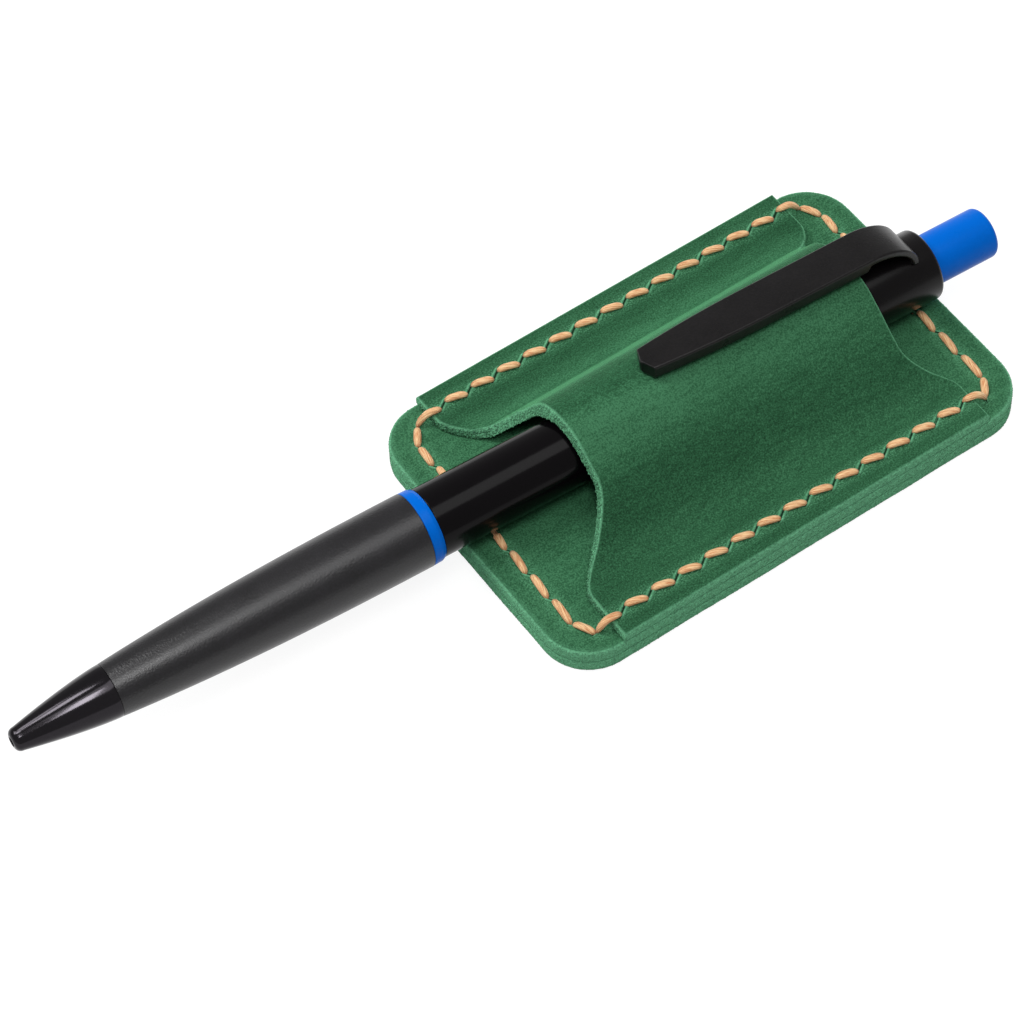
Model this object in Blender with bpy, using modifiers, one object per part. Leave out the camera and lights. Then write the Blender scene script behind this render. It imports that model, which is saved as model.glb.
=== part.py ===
"""Leather pen case with a retractable ballpoint in its sleeve, as separate pieces.

Metres, +Z up. The origin is the centre of the case's back face, which lies on the table.
+X runs along the case towards the pen's button, and +Y towards the steep wall of the sleeve.
The pen is drawn along its own axis, in stations measured from the tip of its nose.
"""

import math

import bmesh
import bpy
from mathutils import Matrix, Vector

# Leather panels
CASE_LENGTH = 0.0705
CASE_WIDTH = 0.0445
CASE_CORNER_RADIUS = 0.0066
BACK_THICKNESS = 0.0018
BASE_THICKNESS = 0.0018
SLEEVE_THICKNESS = 0.0014
GLUE_LINE = 0.0001

# Sleeve, whose arch follows the pen
SLEEVE_CLEARANCE = 0.00025
SLEEVE_NEAR_SLOPE = math.radians(39)
SLEEVE_FAR_SLOPE = math.radians(55)
SLEEVE_NEAR_FILLET = 0.0080
SLEEVE_FAR_FILLET = 0.0030
FLANGE_STEP = 0.00205
FRONT_MOUTH_DEPTH = 0.0083
FRONT_MOUTH_RAMP = 0.0116
REAR_MOUTH_DEPTH = 0.0046
REAR_MOUTH_RAMP = 0.0078
MOUTH_NEAR_INSET = 0.0020

# Saddle stitch: two threads pass through every slit
STITCH_PITCH = 0.0040
SIDE_ROW_INSET = 0.00315
END_ROW_INSET = 0.00365
SIDE_ROW_MARGIN = 0.00525
END_ROW_MARGIN = 0.00585
END_ROW_DRIFT = 0.0012
SLIT_LENGTH = 0.0022
SLIT_WIDTH = 0.0009
SLIT_TILT = math.radians(35)
THREAD_SPACING = 0.0014
THREAD_RADIUS = 0.00045
THREAD_HOLE_RADIUS = 0.00027
THREAD_BACK_RADIUS = 0.00028
THREAD_LIFT = 0.00016
GROOVE_RADIUS = 0.00125
GROOVE_DROP = 0.0002
BACK_STITCH_DEPTH = 0.36
PEN_GROOVE_WIDTH = 0.0017
PEN_GROOVE_REACH = 0.0037

# Pen, outside
PEN_SKEW = math.radians(-2.83)
PEN_OFFSET_Y = 0.00115
PEN_REST_GAP = 0.0002
CLIP_STANDOFF = 0.00855
SEAM = 0.0001
NOSE_LENGTH = 0.0131
NOSE_TIP_RADIUS = 0.00155
NOSE_BACK_RADIUS = 0.00345
NOSE_END_ROUND = 0.0009
NOSE_SWELL = 1.35
GRIP_LENGTH = 0.0420
GRIP_RADIUS = 0.0049
RING_LENGTH = 0.0016
RING_CROWN = 0.7
BARREL_LENGTH = 0.0597
BARREL_RADIUS = 0.0046
CAP_LENGTH = 0.0139
CAP_RADIUS = 0.0048
CAP_END_ROUND = 0.0005
BUTTON_RADIUS = 0.0034
BUTTON_PROUD = 0.0096
BUTTON_END_ROUND = 0.0006
BUTTON_TRAVEL = 0.0065

# Pocket clip
CLIP_ROLL = math.radians(5.8)
CLIP_WIDTH = 0.0058
CLIP_TIP_WIDTH = 0.0041
CLIP_TIP_POINT = 0.0008
CLIP_TAPER_LENGTH = 0.0160
CLIP_THICKNESS = 0.00185
CLIP_LEATHER_GAP = 0.00012
CLIP_REACH = 0.0397
CLIP_ARCH_LENGTH = 0.0072
CLIP_ARCH_SINK = 0.0008
CLIP_ARCH_WALL = 0.00102
CLIP_FOOT_INSET = 0.0025
CLIP_HINGE_STATION_INSET = 0.0030

# Pen, inside
RUNNING_GAP = 0.00015
SEAT_GAP = 0.0002
TIP_HOLE_RADIUS = 0.00075
TIP_HOLE_LENGTH = 0.0025
NOSE_BORE_RADIUS = 0.00145
NOSE_SHOULDER_STATION = 0.0090
NOSE_SPIGOT_LENGTH = 0.0050
NOSE_SPIGOT_WALL = 0.0005
GRIP_BORE_RADIUS = 0.0026
BUSH_RADIUS = 0.00375
BUSH_BORE_RADIUS = 0.0026
BUSH_REACH = 0.0062
BARREL_BORE_RADIUS = 0.0036
SPIGOT_RADIUS = 0.00405
SPIGOT_LENGTH = 0.0112
GUIDE_LENGTH = 0.0120
GUIDE_BORE_RADIUS = 0.0021
KEYWAY_RADIUS = 0.00265
KEYWAY_WIDTH = 0.0013
KEYWAY_COUNT = 4
KEYWAY_START = 0.7
KEY_WIDTH = 0.0008
KEY_RADIUS = 0.00245
STEM_RADIUS = 0.00175
ROTOR_LENGTH = 0.0052
PLUNGER_HEAD_RADIUS = 0.0023
PLUNGER_HEAD_LENGTH = 0.0110
BUTTON_BORE_RADIUS = 0.0025
BUTTON_HIDDEN_LENGTH = 0.0077
BUTTON_FLOOR = 0.0040
REFILL_RADIUS = 0.0016
REFILL_BORE_RADIUS = 0.00115
REFILL_COLLAR_RADIUS = 0.0022
REFILL_COLLAR_LENGTH = 0.0010
POINT_RECESS = 0.0034
POINT_NEEDLE_RADIUS = 0.00055
POINT_NEEDLE_LENGTH = 0.0060
POINT_CONE_LENGTH = 0.0020
POINT_SHANK_LENGTH = 0.0046
POINT_TAIL_LENGTH = 0.0030
BALL_RADIUS = 0.00036
BALL_GAP = 0.00006
BALL_SEAT = 0.8
PLUG_HEAD_LENGTH = 0.0019
PLUG_STEM_LENGTH = 0.0035
SPRING_WIRE_RADIUS = 0.00018
SPRING_MEAN_RADIUS = 0.00195
SPRING_LENGTH = 0.0212
SPRING_TURNS = 9

# Mesh fineness
TURN_STEPS = 32
SMALL_TURN_STEPS = 20
SPRING_POINTS_PER_TURN = 8
GRIP_STATIONS = 9
NOSE_STATIONS = 4
SLEEVE_ROWS = 7
MOUTH_POINTS = 12
MERGE_DISTANCE = 0.000001
CUT_MARGIN = 0.0020
ROUND_MIDDLE = 0.3

# Heights in the stack of leather
BACK_TOP = BACK_THICKNESS
BASE_BOTTOM = BACK_TOP + GLUE_LINE
BASE_TOP = BASE_BOTTOM + BASE_THICKNESS
FLANGE_BOTTOM = BASE_TOP + GLUE_LINE
FLANGE_TOP = FLANGE_BOTTOM + SLEEVE_THICKNESS
PEN_AXIS_Z = BASE_TOP + PEN_REST_GAP + GRIP_RADIUS
ARCH_RADIUS = GRIP_RADIUS + SLEEVE_CLEARANCE

# Stations along the pen, from the tip of the nose
NOSE_BACK = NOSE_LENGTH
GRIP_FRONT = NOSE_BACK + SEAM
GRIP_BACK = GRIP_FRONT + GRIP_LENGTH
RING_FRONT = GRIP_BACK + SEAM
RING_BACK = RING_FRONT + RING_LENGTH
BARREL_FRONT = RING_BACK + SEAM
BARREL_SHOULDER = BARREL_FRONT + BARREL_LENGTH
CAP_FRONT = BARREL_SHOULDER + SEAM
CAP_BACK = CAP_FRONT + CAP_LENGTH
BUTTON_BACK = CAP_BACK + BUTTON_PROUD
BUTTON_FRONT = CAP_BACK - BUTTON_HIDDEN_LENGTH
CLIP_ROOT_BACK = CAP_BACK - CLIP_FOOT_INSET
CLIP_HINGE_STATION = CAP_BACK - CLIP_HINGE_STATION_INSET
GUIDE_BACK = BUTTON_FRONT - BUTTON_TRAVEL - 2 * SEAT_GAP
GUIDE_FRONT = GUIDE_BACK - GUIDE_LENGTH
ROTOR_FRONT = GUIDE_FRONT
ROTOR_BACK = ROTOR_FRONT + ROTOR_LENGTH
PLUNGER_FRONT = ROTOR_BACK + SEAT_GAP
PLUG_BACK = ROTOR_FRONT - SEAT_GAP
TUBE_BACK = PLUG_BACK - PLUG_HEAD_LENGTH - SEAM
NEEDLE_BACK = POINT_RECESS + POINT_NEEDLE_LENGTH
CONE_BACK = NEEDLE_BACK + POINT_CONE_LENGTH
TUBE_FRONT = CONE_BACK + POINT_SHANK_LENGTH + SEAM
SPRING_FRONT = NOSE_SHOULDER_STATION + SPRING_WIRE_RADIUS + RUNNING_GAP
SPRING_BACK = SPRING_FRONT + SPRING_LENGTH
COLLAR_FRONT = SPRING_BACK + SPRING_WIRE_RADIUS + RUNNING_GAP

# Long side of the sleeve's flange, from the hole layout
SIDE_ROW_Y = CASE_WIDTH / 2 - SIDE_ROW_INSET
END_ROW_X = CASE_LENGTH / 2 - END_ROW_INSET
SIDE_ROW_END = CASE_LENGTH / 2 - SIDE_ROW_MARGIN
END_ROW_END = CASE_WIDTH / 2 - END_ROW_MARGIN
FLANGE_END = SIDE_ROW_END - FLANGE_STEP

# The clip's root stands behind the rear mouth of the sleeve, which sets the pen along the case
REAR_MOUTH_X = FLANGE_END - REAR_MOUTH_DEPTH
CLIP_ROOT_X = REAR_MOUTH_X + CLIP_STANDOFF
PEN_TIP_X = CLIP_ROOT_X - CLIP_ROOT_BACK * math.cos(PEN_SKEW)

LEATHER_GREEN = (0.024, 0.130, 0.062, 1.0)
THREAD_PEACH = (0.840, 0.430, 0.200, 1.0)
METAL_GUN = (0.060, 0.058, 0.062, 1.0)
GRIP_GREY = (0.045, 0.043, 0.048, 1.0)
BLACK_GLOSS = (0.010, 0.009, 0.010, 1.0)
BLACK_SATIN = (0.014, 0.013, 0.014, 1.0)
ACCENT_BLUE = (0.000, 0.105, 0.620, 1.0)
WHITE_ACETAL = (0.800, 0.800, 0.780, 1.0)
BRASS = (0.620, 0.420, 0.160, 1.0)
STEEL = (0.550, 0.550, 0.560, 1.0)


def clear_scene():
    """Removes whatever the file opened with."""
    for item in list(bpy.data.objects):
        bpy.data.objects.remove(item, do_unlink=True)


def make_collection(name):
    """A collection linked to the scene."""
    group = bpy.data.collections.new(name)
    bpy.context.scene.collection.children.link(group)
    return group


def make_material(name, colour, roughness, metallic=0.0):
    """A Principled material of one colour."""
    material = bpy.data.materials.new(name)
    material.use_nodes = True
    shader = material.node_tree.nodes["Principled BSDF"]
    shader.inputs["Base Color"].default_value = colour
    shader.inputs["Roughness"].default_value = roughness
    shader.inputs["Metallic"].default_value = metallic
    material.diffuse_color = colour
    return material


def add_object(name, data, group, material=None, parent=None):
    """Links new mesh or curve data as an object of the group."""
    item = bpy.data.objects.new(name, data)
    group.objects.link(item)
    item.parent = parent
    if material is not None:
        data.materials.append(material)
    return item


def add_empty(name, group, location, rotation, parent=None):
    """An axis that other pieces are parented to."""
    item = bpy.data.objects.new(name, None)
    item.location = location
    item.rotation_euler = rotation
    item.parent = parent
    group.objects.link(item)
    return item


def hide_cutter(item):
    """Marks a cutter, which is not a piece of the object."""
    item.hide_render = True
    item.display_type = "WIRE"


def boolean(item, cutter, operation, crosses_itself=False):
    """A Boolean modifier with the exact solver, which can allow for a mesh that crosses itself."""
    modifier = item.modifiers.new(operation.lower(), "BOOLEAN")
    modifier.operation = operation
    modifier.solver = "EXACT"
    modifier.use_self = crosses_itself
    modifier.object = cutter


def smooth(mesh, angle=math.radians(35)):
    """Smooth shading that keeps the hard edges."""
    mesh.shade_smooth()
    mesh.set_sharp_from_angle(angle=angle)


def mesh_from_curve(item, group, material=None):
    """Turns a curve object into a closed mesh object of the same name."""
    bpy.context.view_layer.update()
    graph = bpy.context.evaluated_depsgraph_get()
    mesh = bpy.data.meshes.new_from_object(item.evaluated_get(graph))
    shape = bmesh.new()
    shape.from_mesh(mesh)
    bmesh.ops.remove_doubles(shape, verts=shape.verts, dist=MERGE_DISTANCE)
    bmesh.ops.recalc_face_normals(shape, faces=shape.faces)
    shape.to_mesh(mesh)
    shape.free()
    name = item.name
    place = item.matrix_world.copy()
    parent = item.parent
    bpy.data.objects.remove(item, do_unlink=True)
    mesh.materials.clear()
    solid = add_object(name, mesh, group, material, parent)
    solid.matrix_world = place
    return solid


def prism(name, outline, low, high, group, material=None, parent=None):
    """A flat outline of x, y points, extruded from one height to another."""
    curve = bpy.data.curves.new(name, "CURVE")
    curve.dimensions = "2D"
    curve.fill_mode = "BOTH"
    curve.extrude = (high - low) / 2
    spline = curve.splines.new("POLY")
    spline.points.add(len(outline) - 1)
    for point, (x, y) in zip(spline.points, outline):
        point.co = (x, y, 0.0, 1.0)
    spline.use_cyclic_u = True
    item = add_object(name, curve, group, None, parent)
    item.location.z = (low + high) / 2
    return mesh_from_curve(item, group, material)


def tube(name, route, radius, group, material=None, parent=None, closed=False, factors=None, fineness=1):
    """A round tube along a route of points, with its own thickness factor at each point."""
    curve = bpy.data.curves.new(name, "CURVE")
    curve.dimensions = "3D"
    curve.fill_mode = "FULL"
    curve.bevel_depth = radius
    curve.bevel_resolution = fineness
    curve.use_fill_caps = not closed
    spline = curve.splines.new("POLY")
    spline.points.add(len(route) - 1)
    for index, place in enumerate(route):
        spline.points[index].co = (*place, 1.0)
        spline.points[index].radius = factors[index] if factors else 1.0
    spline.use_cyclic_u = closed
    item = add_object(name, curve, group, None, parent)
    return mesh_from_curve(item, group, material)


def turned(name, outer, inner, group, material, parent, steps=TURN_STEPS):
    """A turned piece on its parent's X axis.

    The outer profile holds (station, radius) from the rear end to the front end, and the inner
    profile from the front end to the rear end. A solid piece has no inner profile, and its outer
    one starts and ends on the axis.
    """
    points = [Vector((radius, 0.0, station)) for station, radius in outer + inner]
    mesh = bpy.data.meshes.new(name)
    edges = [(index, index + 1) for index in range(len(points) - 1)]
    if inner:
        edges.append((len(points) - 1, 0))
    mesh.from_pydata(points, edges, [])
    item = add_object(name, mesh, group, material, parent)
    item.rotation_euler = (0.0, math.pi / 2, 0.0)
    screw = item.modifiers.new("turn", "SCREW")
    screw.axis = "Z"
    screw.angle = math.tau
    screw.steps = steps
    screw.render_steps = steps
    screw.use_merge_vertices = True
    screw.merge_threshold = MERGE_DISTANCE
    screw.use_smooth_shade = True
    return item


def boxes(name, places, size, group, parent=None):
    """One cutter or filler made of equal boxes, each at (centre, turn about Z)."""
    shape = bmesh.new()
    for centre, turn in places:
        block = bmesh.ops.create_cube(shape, size=1.0)["verts"]
        bmesh.ops.scale(shape, verts=block, vec=size)
        spin = Vector((0.0, 0.0, 1.0))
        bmesh.ops.rotate(shape, verts=block, cent=(0, 0, 0), matrix=rotation_about(spin, turn))
        bmesh.ops.translate(shape, verts=block, vec=centre)
    mesh = bpy.data.meshes.new(name)
    shape.to_mesh(mesh)
    shape.free()
    return add_object(name, mesh, group, None, parent)


def rotation_about(axis, angle):
    """A rotation matrix about an axis through the origin."""
    return Matrix.Rotation(angle, 3, axis)


def rounded_rectangle(length, width, radius, steps=8):
    """Points of a rectangle with round corners, anticlockwise."""
    points = []
    corners = ((1, -1, -90), (1, 1, 0), (-1, 1, 90), (-1, -1, 180))
    for side_x, side_y, start in corners:
        centre_x = side_x * (length / 2 - radius)
        centre_y = side_y * (width / 2 - radius)
        for step in range(steps + 1):
            angle = math.radians(start + 90 * step / steps)
            points.append((centre_x + radius * math.cos(angle), centre_y + radius * math.sin(angle)))
    return points


def spread(half_span):
    """Places of a row of holes between two ends, about one stitch pitch apart."""
    gaps = max(2, round(2 * half_span / STITCH_PITCH))
    return [-half_span + 2 * half_span * index / gaps for index in range(gaps + 1)]


def stitch_places():
    """Hole centres round the case, anticlockwise from the near left corner.

    The end rows were marked by hand: their holes drift a little to the far side at mid length.
    """
    long_row = spread(SIDE_ROW_END)
    short_row = []
    for y in spread(END_ROW_END):
        drift = END_ROW_DRIFT * math.cos(math.pi * y / (2 * END_ROW_END))
        short_row.append(y + drift)
    places = [Vector((x, -SIDE_ROW_Y)) for x in long_row]
    places += [Vector((END_ROW_X, y)) for y in short_row]
    places += [Vector((-x, SIDE_ROW_Y)) for x in long_row]
    places += [Vector((-END_ROW_X, y)) for y in reversed(short_row)]
    return places


def stitch_frames():
    """Each hole as its centre, the direction of the seam there and the direction of its slit."""
    places = stitch_places()
    frames = []
    for index, place in enumerate(places):
        before = places[index - 1]
        after = places[(index + 1) % len(places)]
        along = ((place - before).normalized() + (after - place).normalized()).normalized()
        slit = along.copy()
        slit.rotate(rotation_2d(SLIT_TILT))
        frames.append((place, along, slit))
    return frames


def rotation_2d(angle):
    """A rotation in the plane of the case."""
    return Matrix.Rotation(angle, 2)


def leather_top(x, y):
    """Height of the upper face of the leather that a stitch lies on."""
    on_flange = abs(x) < FLANGE_END and abs(y) > END_ROW_END
    return FLANGE_TOP if on_flange else BASE_TOP


def under_pen(x, y, radius):
    """Highest centre of a thread that the pen's thickest part passes over without touching."""
    beside = (y - pen_line_y(x)) * math.cos(PEN_SKEW)
    reach = ARCH_RADIUS + SEAM / 2 + radius
    if abs(beside) >= reach:
        return PEN_AXIS_Z
    return PEN_AXIS_Z - math.sqrt(reach * reach - beside * beside)


def front_span(start, end):
    """Points and thickness of a stitch that shows, from one hole to the next."""
    route = []
    factors = []
    reach = THREAD_RADIUS + 2 * THREAD_LIFT
    crossing = leather_top(*start) != leather_top(*end)
    length = (end - start).length
    for step in (0.0, 0.2, 0.5, 0.8, 1.0):
        place = start.lerp(end, step)
        if step in (0.0, 1.0):
            radius = THREAD_HOLE_RADIUS
            height = leather_top(*place) + THREAD_LIFT
        else:
            radius = THREAD_RADIUS
            ahead = (end - start) * (reach / length)
            top = max(leather_top(*(place + ahead * side)) for side in (-1, 0, 1))
            bulge = THREAD_LIFT if crossing or step == 0.5 else 0.0
            height = top + radius + THREAD_LIFT + bulge
        if under_pen(*place, radius) < height:
            radius = min(radius, THREAD_BACK_RADIUS)
            height = min(height, under_pen(*place, radius))
        route.append((place.x, place.y, height))
        factors.append(radius / THREAD_RADIUS)
    return route, factors


def back_span(start, end, along_start, along_end):
    """Points and thickness of a stitch on the back, which lies in the groove."""
    depth = (GROOVE_RADIUS - GROOVE_DROP) * BACK_STITCH_DEPTH
    run = min(THREAD_SPACING, (end - start).length / 4)
    places = (start, start + along_start * run, end - along_end * run, end)
    route = [(place.x, place.y, depth) for place in places]
    return route, [THREAD_BACK_RADIUS / THREAD_RADIUS] * len(route)


def build_thread(name, first, group, material):
    """One of the two threads: it shows between every other pair of holes."""
    frames = stitch_frames()
    half = THREAD_SPACING / 2
    route = []
    factors = []
    for index, (place, along, slit) in enumerate(frames):
        following, next_along, next_slit = frames[(index + 1) % len(frames)]
        if (index + first) % 2 == 0:
            points, sizes = front_span(place + slit * half, following - next_slit * half)
        else:
            points, sizes = back_span(place - slit * half, following + next_slit * half, along, next_along)
        route += points
        factors += sizes
    return tube(name, route, THREAD_RADIUS, group, material, closed=True, factors=factors)


def build_slit_cutter(cutters):
    """One cutter with a slit for every stitch hole, through all the leather."""
    height = FLANGE_TOP + 2 * CUT_MARGIN
    places = []
    for place, _, slit in stitch_frames():
        centre = (place.x, place.y, height / 2 - CUT_MARGIN)
        places.append((centre, math.atan2(slit.y, slit.x)))
    cutter = boxes("stitch_slits", places, (SLIT_LENGTH, SLIT_WIDTH, height), cutters)
    hide_cutter(cutter)
    return cutter


def build_groove_cutter(cutters):
    """The round groove in the back that the back stitches lie in."""
    corners = []
    for side_x, side_y in ((1, -1), (1, 1), (-1, 1), (-1, -1)):
        on_side = (side_x * SIDE_ROW_END, side_y * SIDE_ROW_Y, -GROOVE_DROP)
        on_end = (side_x * END_ROW_X, side_y * END_ROW_END, -GROOVE_DROP)
        corners += [on_side, on_end] if side_x * side_y < 0 else [on_end, on_side]
    cutter = tube("stitch_groove", corners, GROOVE_RADIUS, cutters, closed=True, fineness=2)
    hide_cutter(cutter)
    return cutter


def build_pen_grooves(cutters):
    """Two short grooves that sink the stitches of the end rows where the pen passes over them."""
    low = PEN_AXIS_Z - ARCH_RADIUS - 2 * THREAD_BACK_RADIUS - SEAM
    high = BASE_TOP + CUT_MARGIN
    places = []
    for x in (-END_ROW_X, END_ROW_X):
        places.append(((x, pen_line_y(x), (low + high) / 2), 0.0))
    cutter = boxes("pen_grooves", places, (PEN_GROOVE_WIDTH, 2 * PEN_GROOVE_REACH, high - low), cutters)
    hide_cutter(cutter)
    return cutter


def build_panels(parts, cutters, leather):
    """The two flat leather panels."""
    outline = rounded_rectangle(CASE_LENGTH, CASE_WIDTH, CASE_CORNER_RADIUS)
    slits = build_slit_cutter(cutters)
    back = prism("back_panel", outline, 0.0, BACK_TOP, parts, leather)
    boolean(back, build_groove_cutter(cutters), "DIFFERENCE")
    boolean(back, slits, "DIFFERENCE")
    base = prism("base_panel", outline, BASE_BOTTOM, BASE_TOP, parts, leather)
    boolean(base, build_pen_grooves(cutters), "DIFFERENCE")
    boolean(base, slits, "DIFFERENCE")
    return slits


def pen_line_y(x):
    """Where the pen's axis lies across the case."""
    return PEN_OFFSET_Y + math.tan(PEN_SKEW) * x


def slope_run(slope):
    """Distance from the arch's centre to the foot of a straight slope that touches the arch."""
    touch_height = PEN_AXIS_Z + ARCH_RADIUS * math.cos(slope)
    return ARCH_RADIUS * math.sin(slope) + (touch_height - FLANGE_BOTTOM) / math.tan(slope)


def near_foot(x):
    """Foot of the gentle slope on the near side."""
    return pen_line_y(x) - slope_run(SLEEVE_NEAR_SLOPE)


def far_centre():
    """The far wall runs parallel to the case and touches the pen's side at the front end."""
    return pen_line_y(-FLANGE_END)


def far_foot():
    """Foot of the steep wall on the far side."""
    return far_centre() + slope_run(SLEEVE_FAR_SLOPE)


def sleeve_section(x):
    """Inner face of the sleeve across the case, as y, z points from the near edge to the far one."""
    points = [(-CASE_WIDTH / 2, FLANGE_BOTTOM)]
    fillet, slope, steps = SLEEVE_NEAR_FILLET, SLEEVE_NEAR_SLOPE, 4
    centre = near_foot(x) - fillet * math.tan(slope / 2)
    for step in range(steps + 1):
        angle = slope * step / steps
        points.append((centre + fillet * math.sin(angle), FLANGE_BOTTOM + fillet * (1 - math.cos(angle))))
    steps = 4
    for step in range(steps + 1):
        angle = SLEEVE_NEAR_SLOPE * (1 - step / steps)
        points.append(arch_point(pen_line_y(x), -angle))
    steps = 5
    for step in range(steps + 1):
        angle = SLEEVE_FAR_SLOPE * step / steps
        points.append(arch_point(far_centre(), angle))
    fillet, slope, steps = SLEEVE_FAR_FILLET, SLEEVE_FAR_SLOPE, 4
    centre = far_foot() + fillet * math.tan(slope / 2)
    for step in range(steps + 1):
        angle = slope * (1 - step / steps)
        points.append((centre - fillet * math.sin(angle), FLANGE_BOTTOM + fillet * (1 - math.cos(angle))))
    points.append((CASE_WIDTH / 2, FLANGE_BOTTOM))
    return points


def arch_point(centre, angle):
    """A point of the arch, by its angle from straight up."""
    return centre + ARCH_RADIUS * math.sin(angle), PEN_AXIS_Z + ARCH_RADIUS * math.cos(angle)


def smoothstep(value):
    """A ramp from 0 to 1 with soft ends."""
    value = min(1.0, max(0.0, value))
    return value * value * (3 - 2 * value)


def mouth_outline(side, depth, ramp):
    """Outline of what is cut off one end of the sleeve: side is -1 at the front, +1 at the rear."""
    near = near_foot(side * FLANGE_END) + MOUTH_NEAR_INSET
    far = far_foot()
    margin = CASE_WIDTH / 2 + CUT_MARGIN
    ys = [-margin]
    for step in range(MOUTH_POINTS + 1):
        ys.append(near - ramp / 2 + ramp * step / MOUTH_POINTS)
    for step in range(MOUTH_POINTS + 1):
        ys.append(far - ramp / 2 + ramp * step / MOUTH_POINTS)
    ys.append(margin)
    outline = []
    for y in ys:
        rise = smoothstep((y - near + ramp / 2) / ramp) * smoothstep((far + ramp / 2 - y) / ramp)
        outline.append((side * (FLANGE_END - depth * rise), y))
    outside = side * (CASE_LENGTH / 2 + CUT_MARGIN)
    outline.append((outside, margin))
    outline.append((outside, -margin))
    return outline


def build_sleeve(parts, cutters, leather, slits):
    """The arched panel: a grid laid on the sleeve's sections, given its thickness and cut to shape."""
    length = FLANGE_END + CUT_MARGIN / 2
    count = len(sleeve_section(0.0))
    shape = bmesh.new()
    bmesh.ops.create_grid(shape, x_segments=SLEEVE_ROWS, y_segments=count - 1, size=1.0)
    for vertex in shape.verts:
        x = vertex.co.x * length
        index = round((vertex.co.y + 1) / 2 * (count - 1))
        y, z = sleeve_section(x)[index]
        vertex.co = (x, y, z)
    mesh = bpy.data.meshes.new("sleeve_panel")
    shape.to_mesh(mesh)
    shape.free()
    smooth(mesh)
    item = add_object("sleeve_panel", mesh, parts, leather)
    solid = item.modifiers.new("thickness", "SOLIDIFY")
    solid.thickness = SLEEVE_THICKNESS
    solid.offset = 1.0
    solid.use_even_offset = True
    top = PEN_AXIS_Z + ARCH_RADIUS + SLEEVE_THICKNESS + CUT_MARGIN
    mouths = (
        ("front_mouth", -1, FRONT_MOUTH_DEPTH, FRONT_MOUTH_RAMP),
        ("rear_mouth", 1, REAR_MOUTH_DEPTH, REAR_MOUTH_RAMP),
    )
    for name, side, depth, ramp in mouths:
        cutter = prism(name, mouth_outline(side, depth, ramp), BASE_TOP - CUT_MARGIN, top, cutters)
        hide_cutter(cutter)
        # Past its front end, where the mouth is cut off, the skewed arch crosses the straight far wall.
        boolean(item, cutter, "DIFFERENCE", crosses_itself=True)
    boolean(item, slits, "DIFFERENCE")


def build_nose(parts, axis, metal):
    """The metal nose cone, screwed into the grip by its spigot."""
    spigot_end = NOSE_BACK + NOSE_SPIGOT_LENGTH
    spigot_bore = NOSE_BORE_RADIUS + 0.0009
    spigot = spigot_bore + NOSE_SPIGOT_WALL
    outer = [(spigot_end, spigot), (NOSE_BACK, spigot)]
    for step in range(NOSE_STATIONS + 1):
        share = 1 - step / NOSE_STATIONS
        station = NOSE_END_ROUND + (NOSE_BACK - NOSE_END_ROUND) * share
        swell = 1 - (1 - share) ** NOSE_SWELL
        outer.append((station, NOSE_TIP_RADIUS + (NOSE_BACK_RADIUS - NOSE_TIP_RADIUS) * swell))
    lip = (NOSE_TIP_RADIUS + TIP_HOLE_RADIUS) / 2
    outer.append((NOSE_END_ROUND * 0.35, NOSE_TIP_RADIUS * 0.86))
    outer.append((0.0, lip))
    inner = [
        (0.0, TIP_HOLE_RADIUS),
        (TIP_HOLE_LENGTH, TIP_HOLE_RADIUS),
        (TIP_HOLE_LENGTH, NOSE_BORE_RADIUS),
        (NOSE_SHOULDER_STATION, NOSE_BORE_RADIUS),
        (NOSE_SHOULDER_STATION, spigot_bore),
        (spigot_end, spigot_bore),
    ]
    turned("nose_cone", outer, inner, parts, metal, axis)
    return spigot


def grip_radius(share):
    """Swelling outline of the grip, from its front end to its back end."""
    return NOSE_BACK_RADIUS + (GRIP_RADIUS - NOSE_BACK_RADIUS) * (1 - (1 - share) ** 2.5)


def build_grip(parts, axis, rubber, spigot):
    """The matt front barrel."""
    outer = []
    for step in range(GRIP_STATIONS + 1):
        share = 1 - step / GRIP_STATIONS
        outer.append((GRIP_FRONT + GRIP_LENGTH * share, grip_radius(share)))
    pocket = spigot + RUNNING_GAP
    pocket_end = NOSE_BACK + NOSE_SPIGOT_LENGTH + SEAT_GAP
    bush_seat = GRIP_BACK - BUSH_REACH - SEAT_GAP
    socket = BUSH_RADIUS + SEAT_GAP
    inner = [
        (GRIP_FRONT, pocket),
        (pocket_end, pocket),
        (pocket_end, GRIP_BORE_RADIUS),
        (bush_seat, GRIP_BORE_RADIUS),
        (bush_seat, socket),
        (GRIP_BACK, socket),
    ]
    turned("grip_barrel", outer, inner, parts, rubber, axis)


def build_ring(parts, axis, blue):
    """The coloured ring between the two barrels."""
    edge = (GRIP_RADIUS + BARREL_RADIUS) / 2 - SEAM
    middle = RING_FRONT + RING_LENGTH * RING_CROWN
    socket = BUSH_RADIUS + SEAT_GAP
    outer = [(RING_BACK, edge), (middle, edge + SEAM), (RING_FRONT, GRIP_RADIUS)]
    inner = [(RING_FRONT, socket), (RING_BACK, socket)]
    turned("accent_ring", outer, inner, parts, blue, axis)


def build_bush(parts, axis, brass):
    """The bush inside the ring that joins the two barrels."""
    front = GRIP_BACK - BUSH_REACH
    back = BARREL_FRONT + BUSH_REACH
    outer = [(back, BUSH_RADIUS), (front, BUSH_RADIUS)]
    inner = [(front, BUSH_BORE_RADIUS), (back, BUSH_BORE_RADIUS)]
    turned("joining_bush", outer, inner, parts, brass, axis, SMALL_TURN_STEPS)


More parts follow.
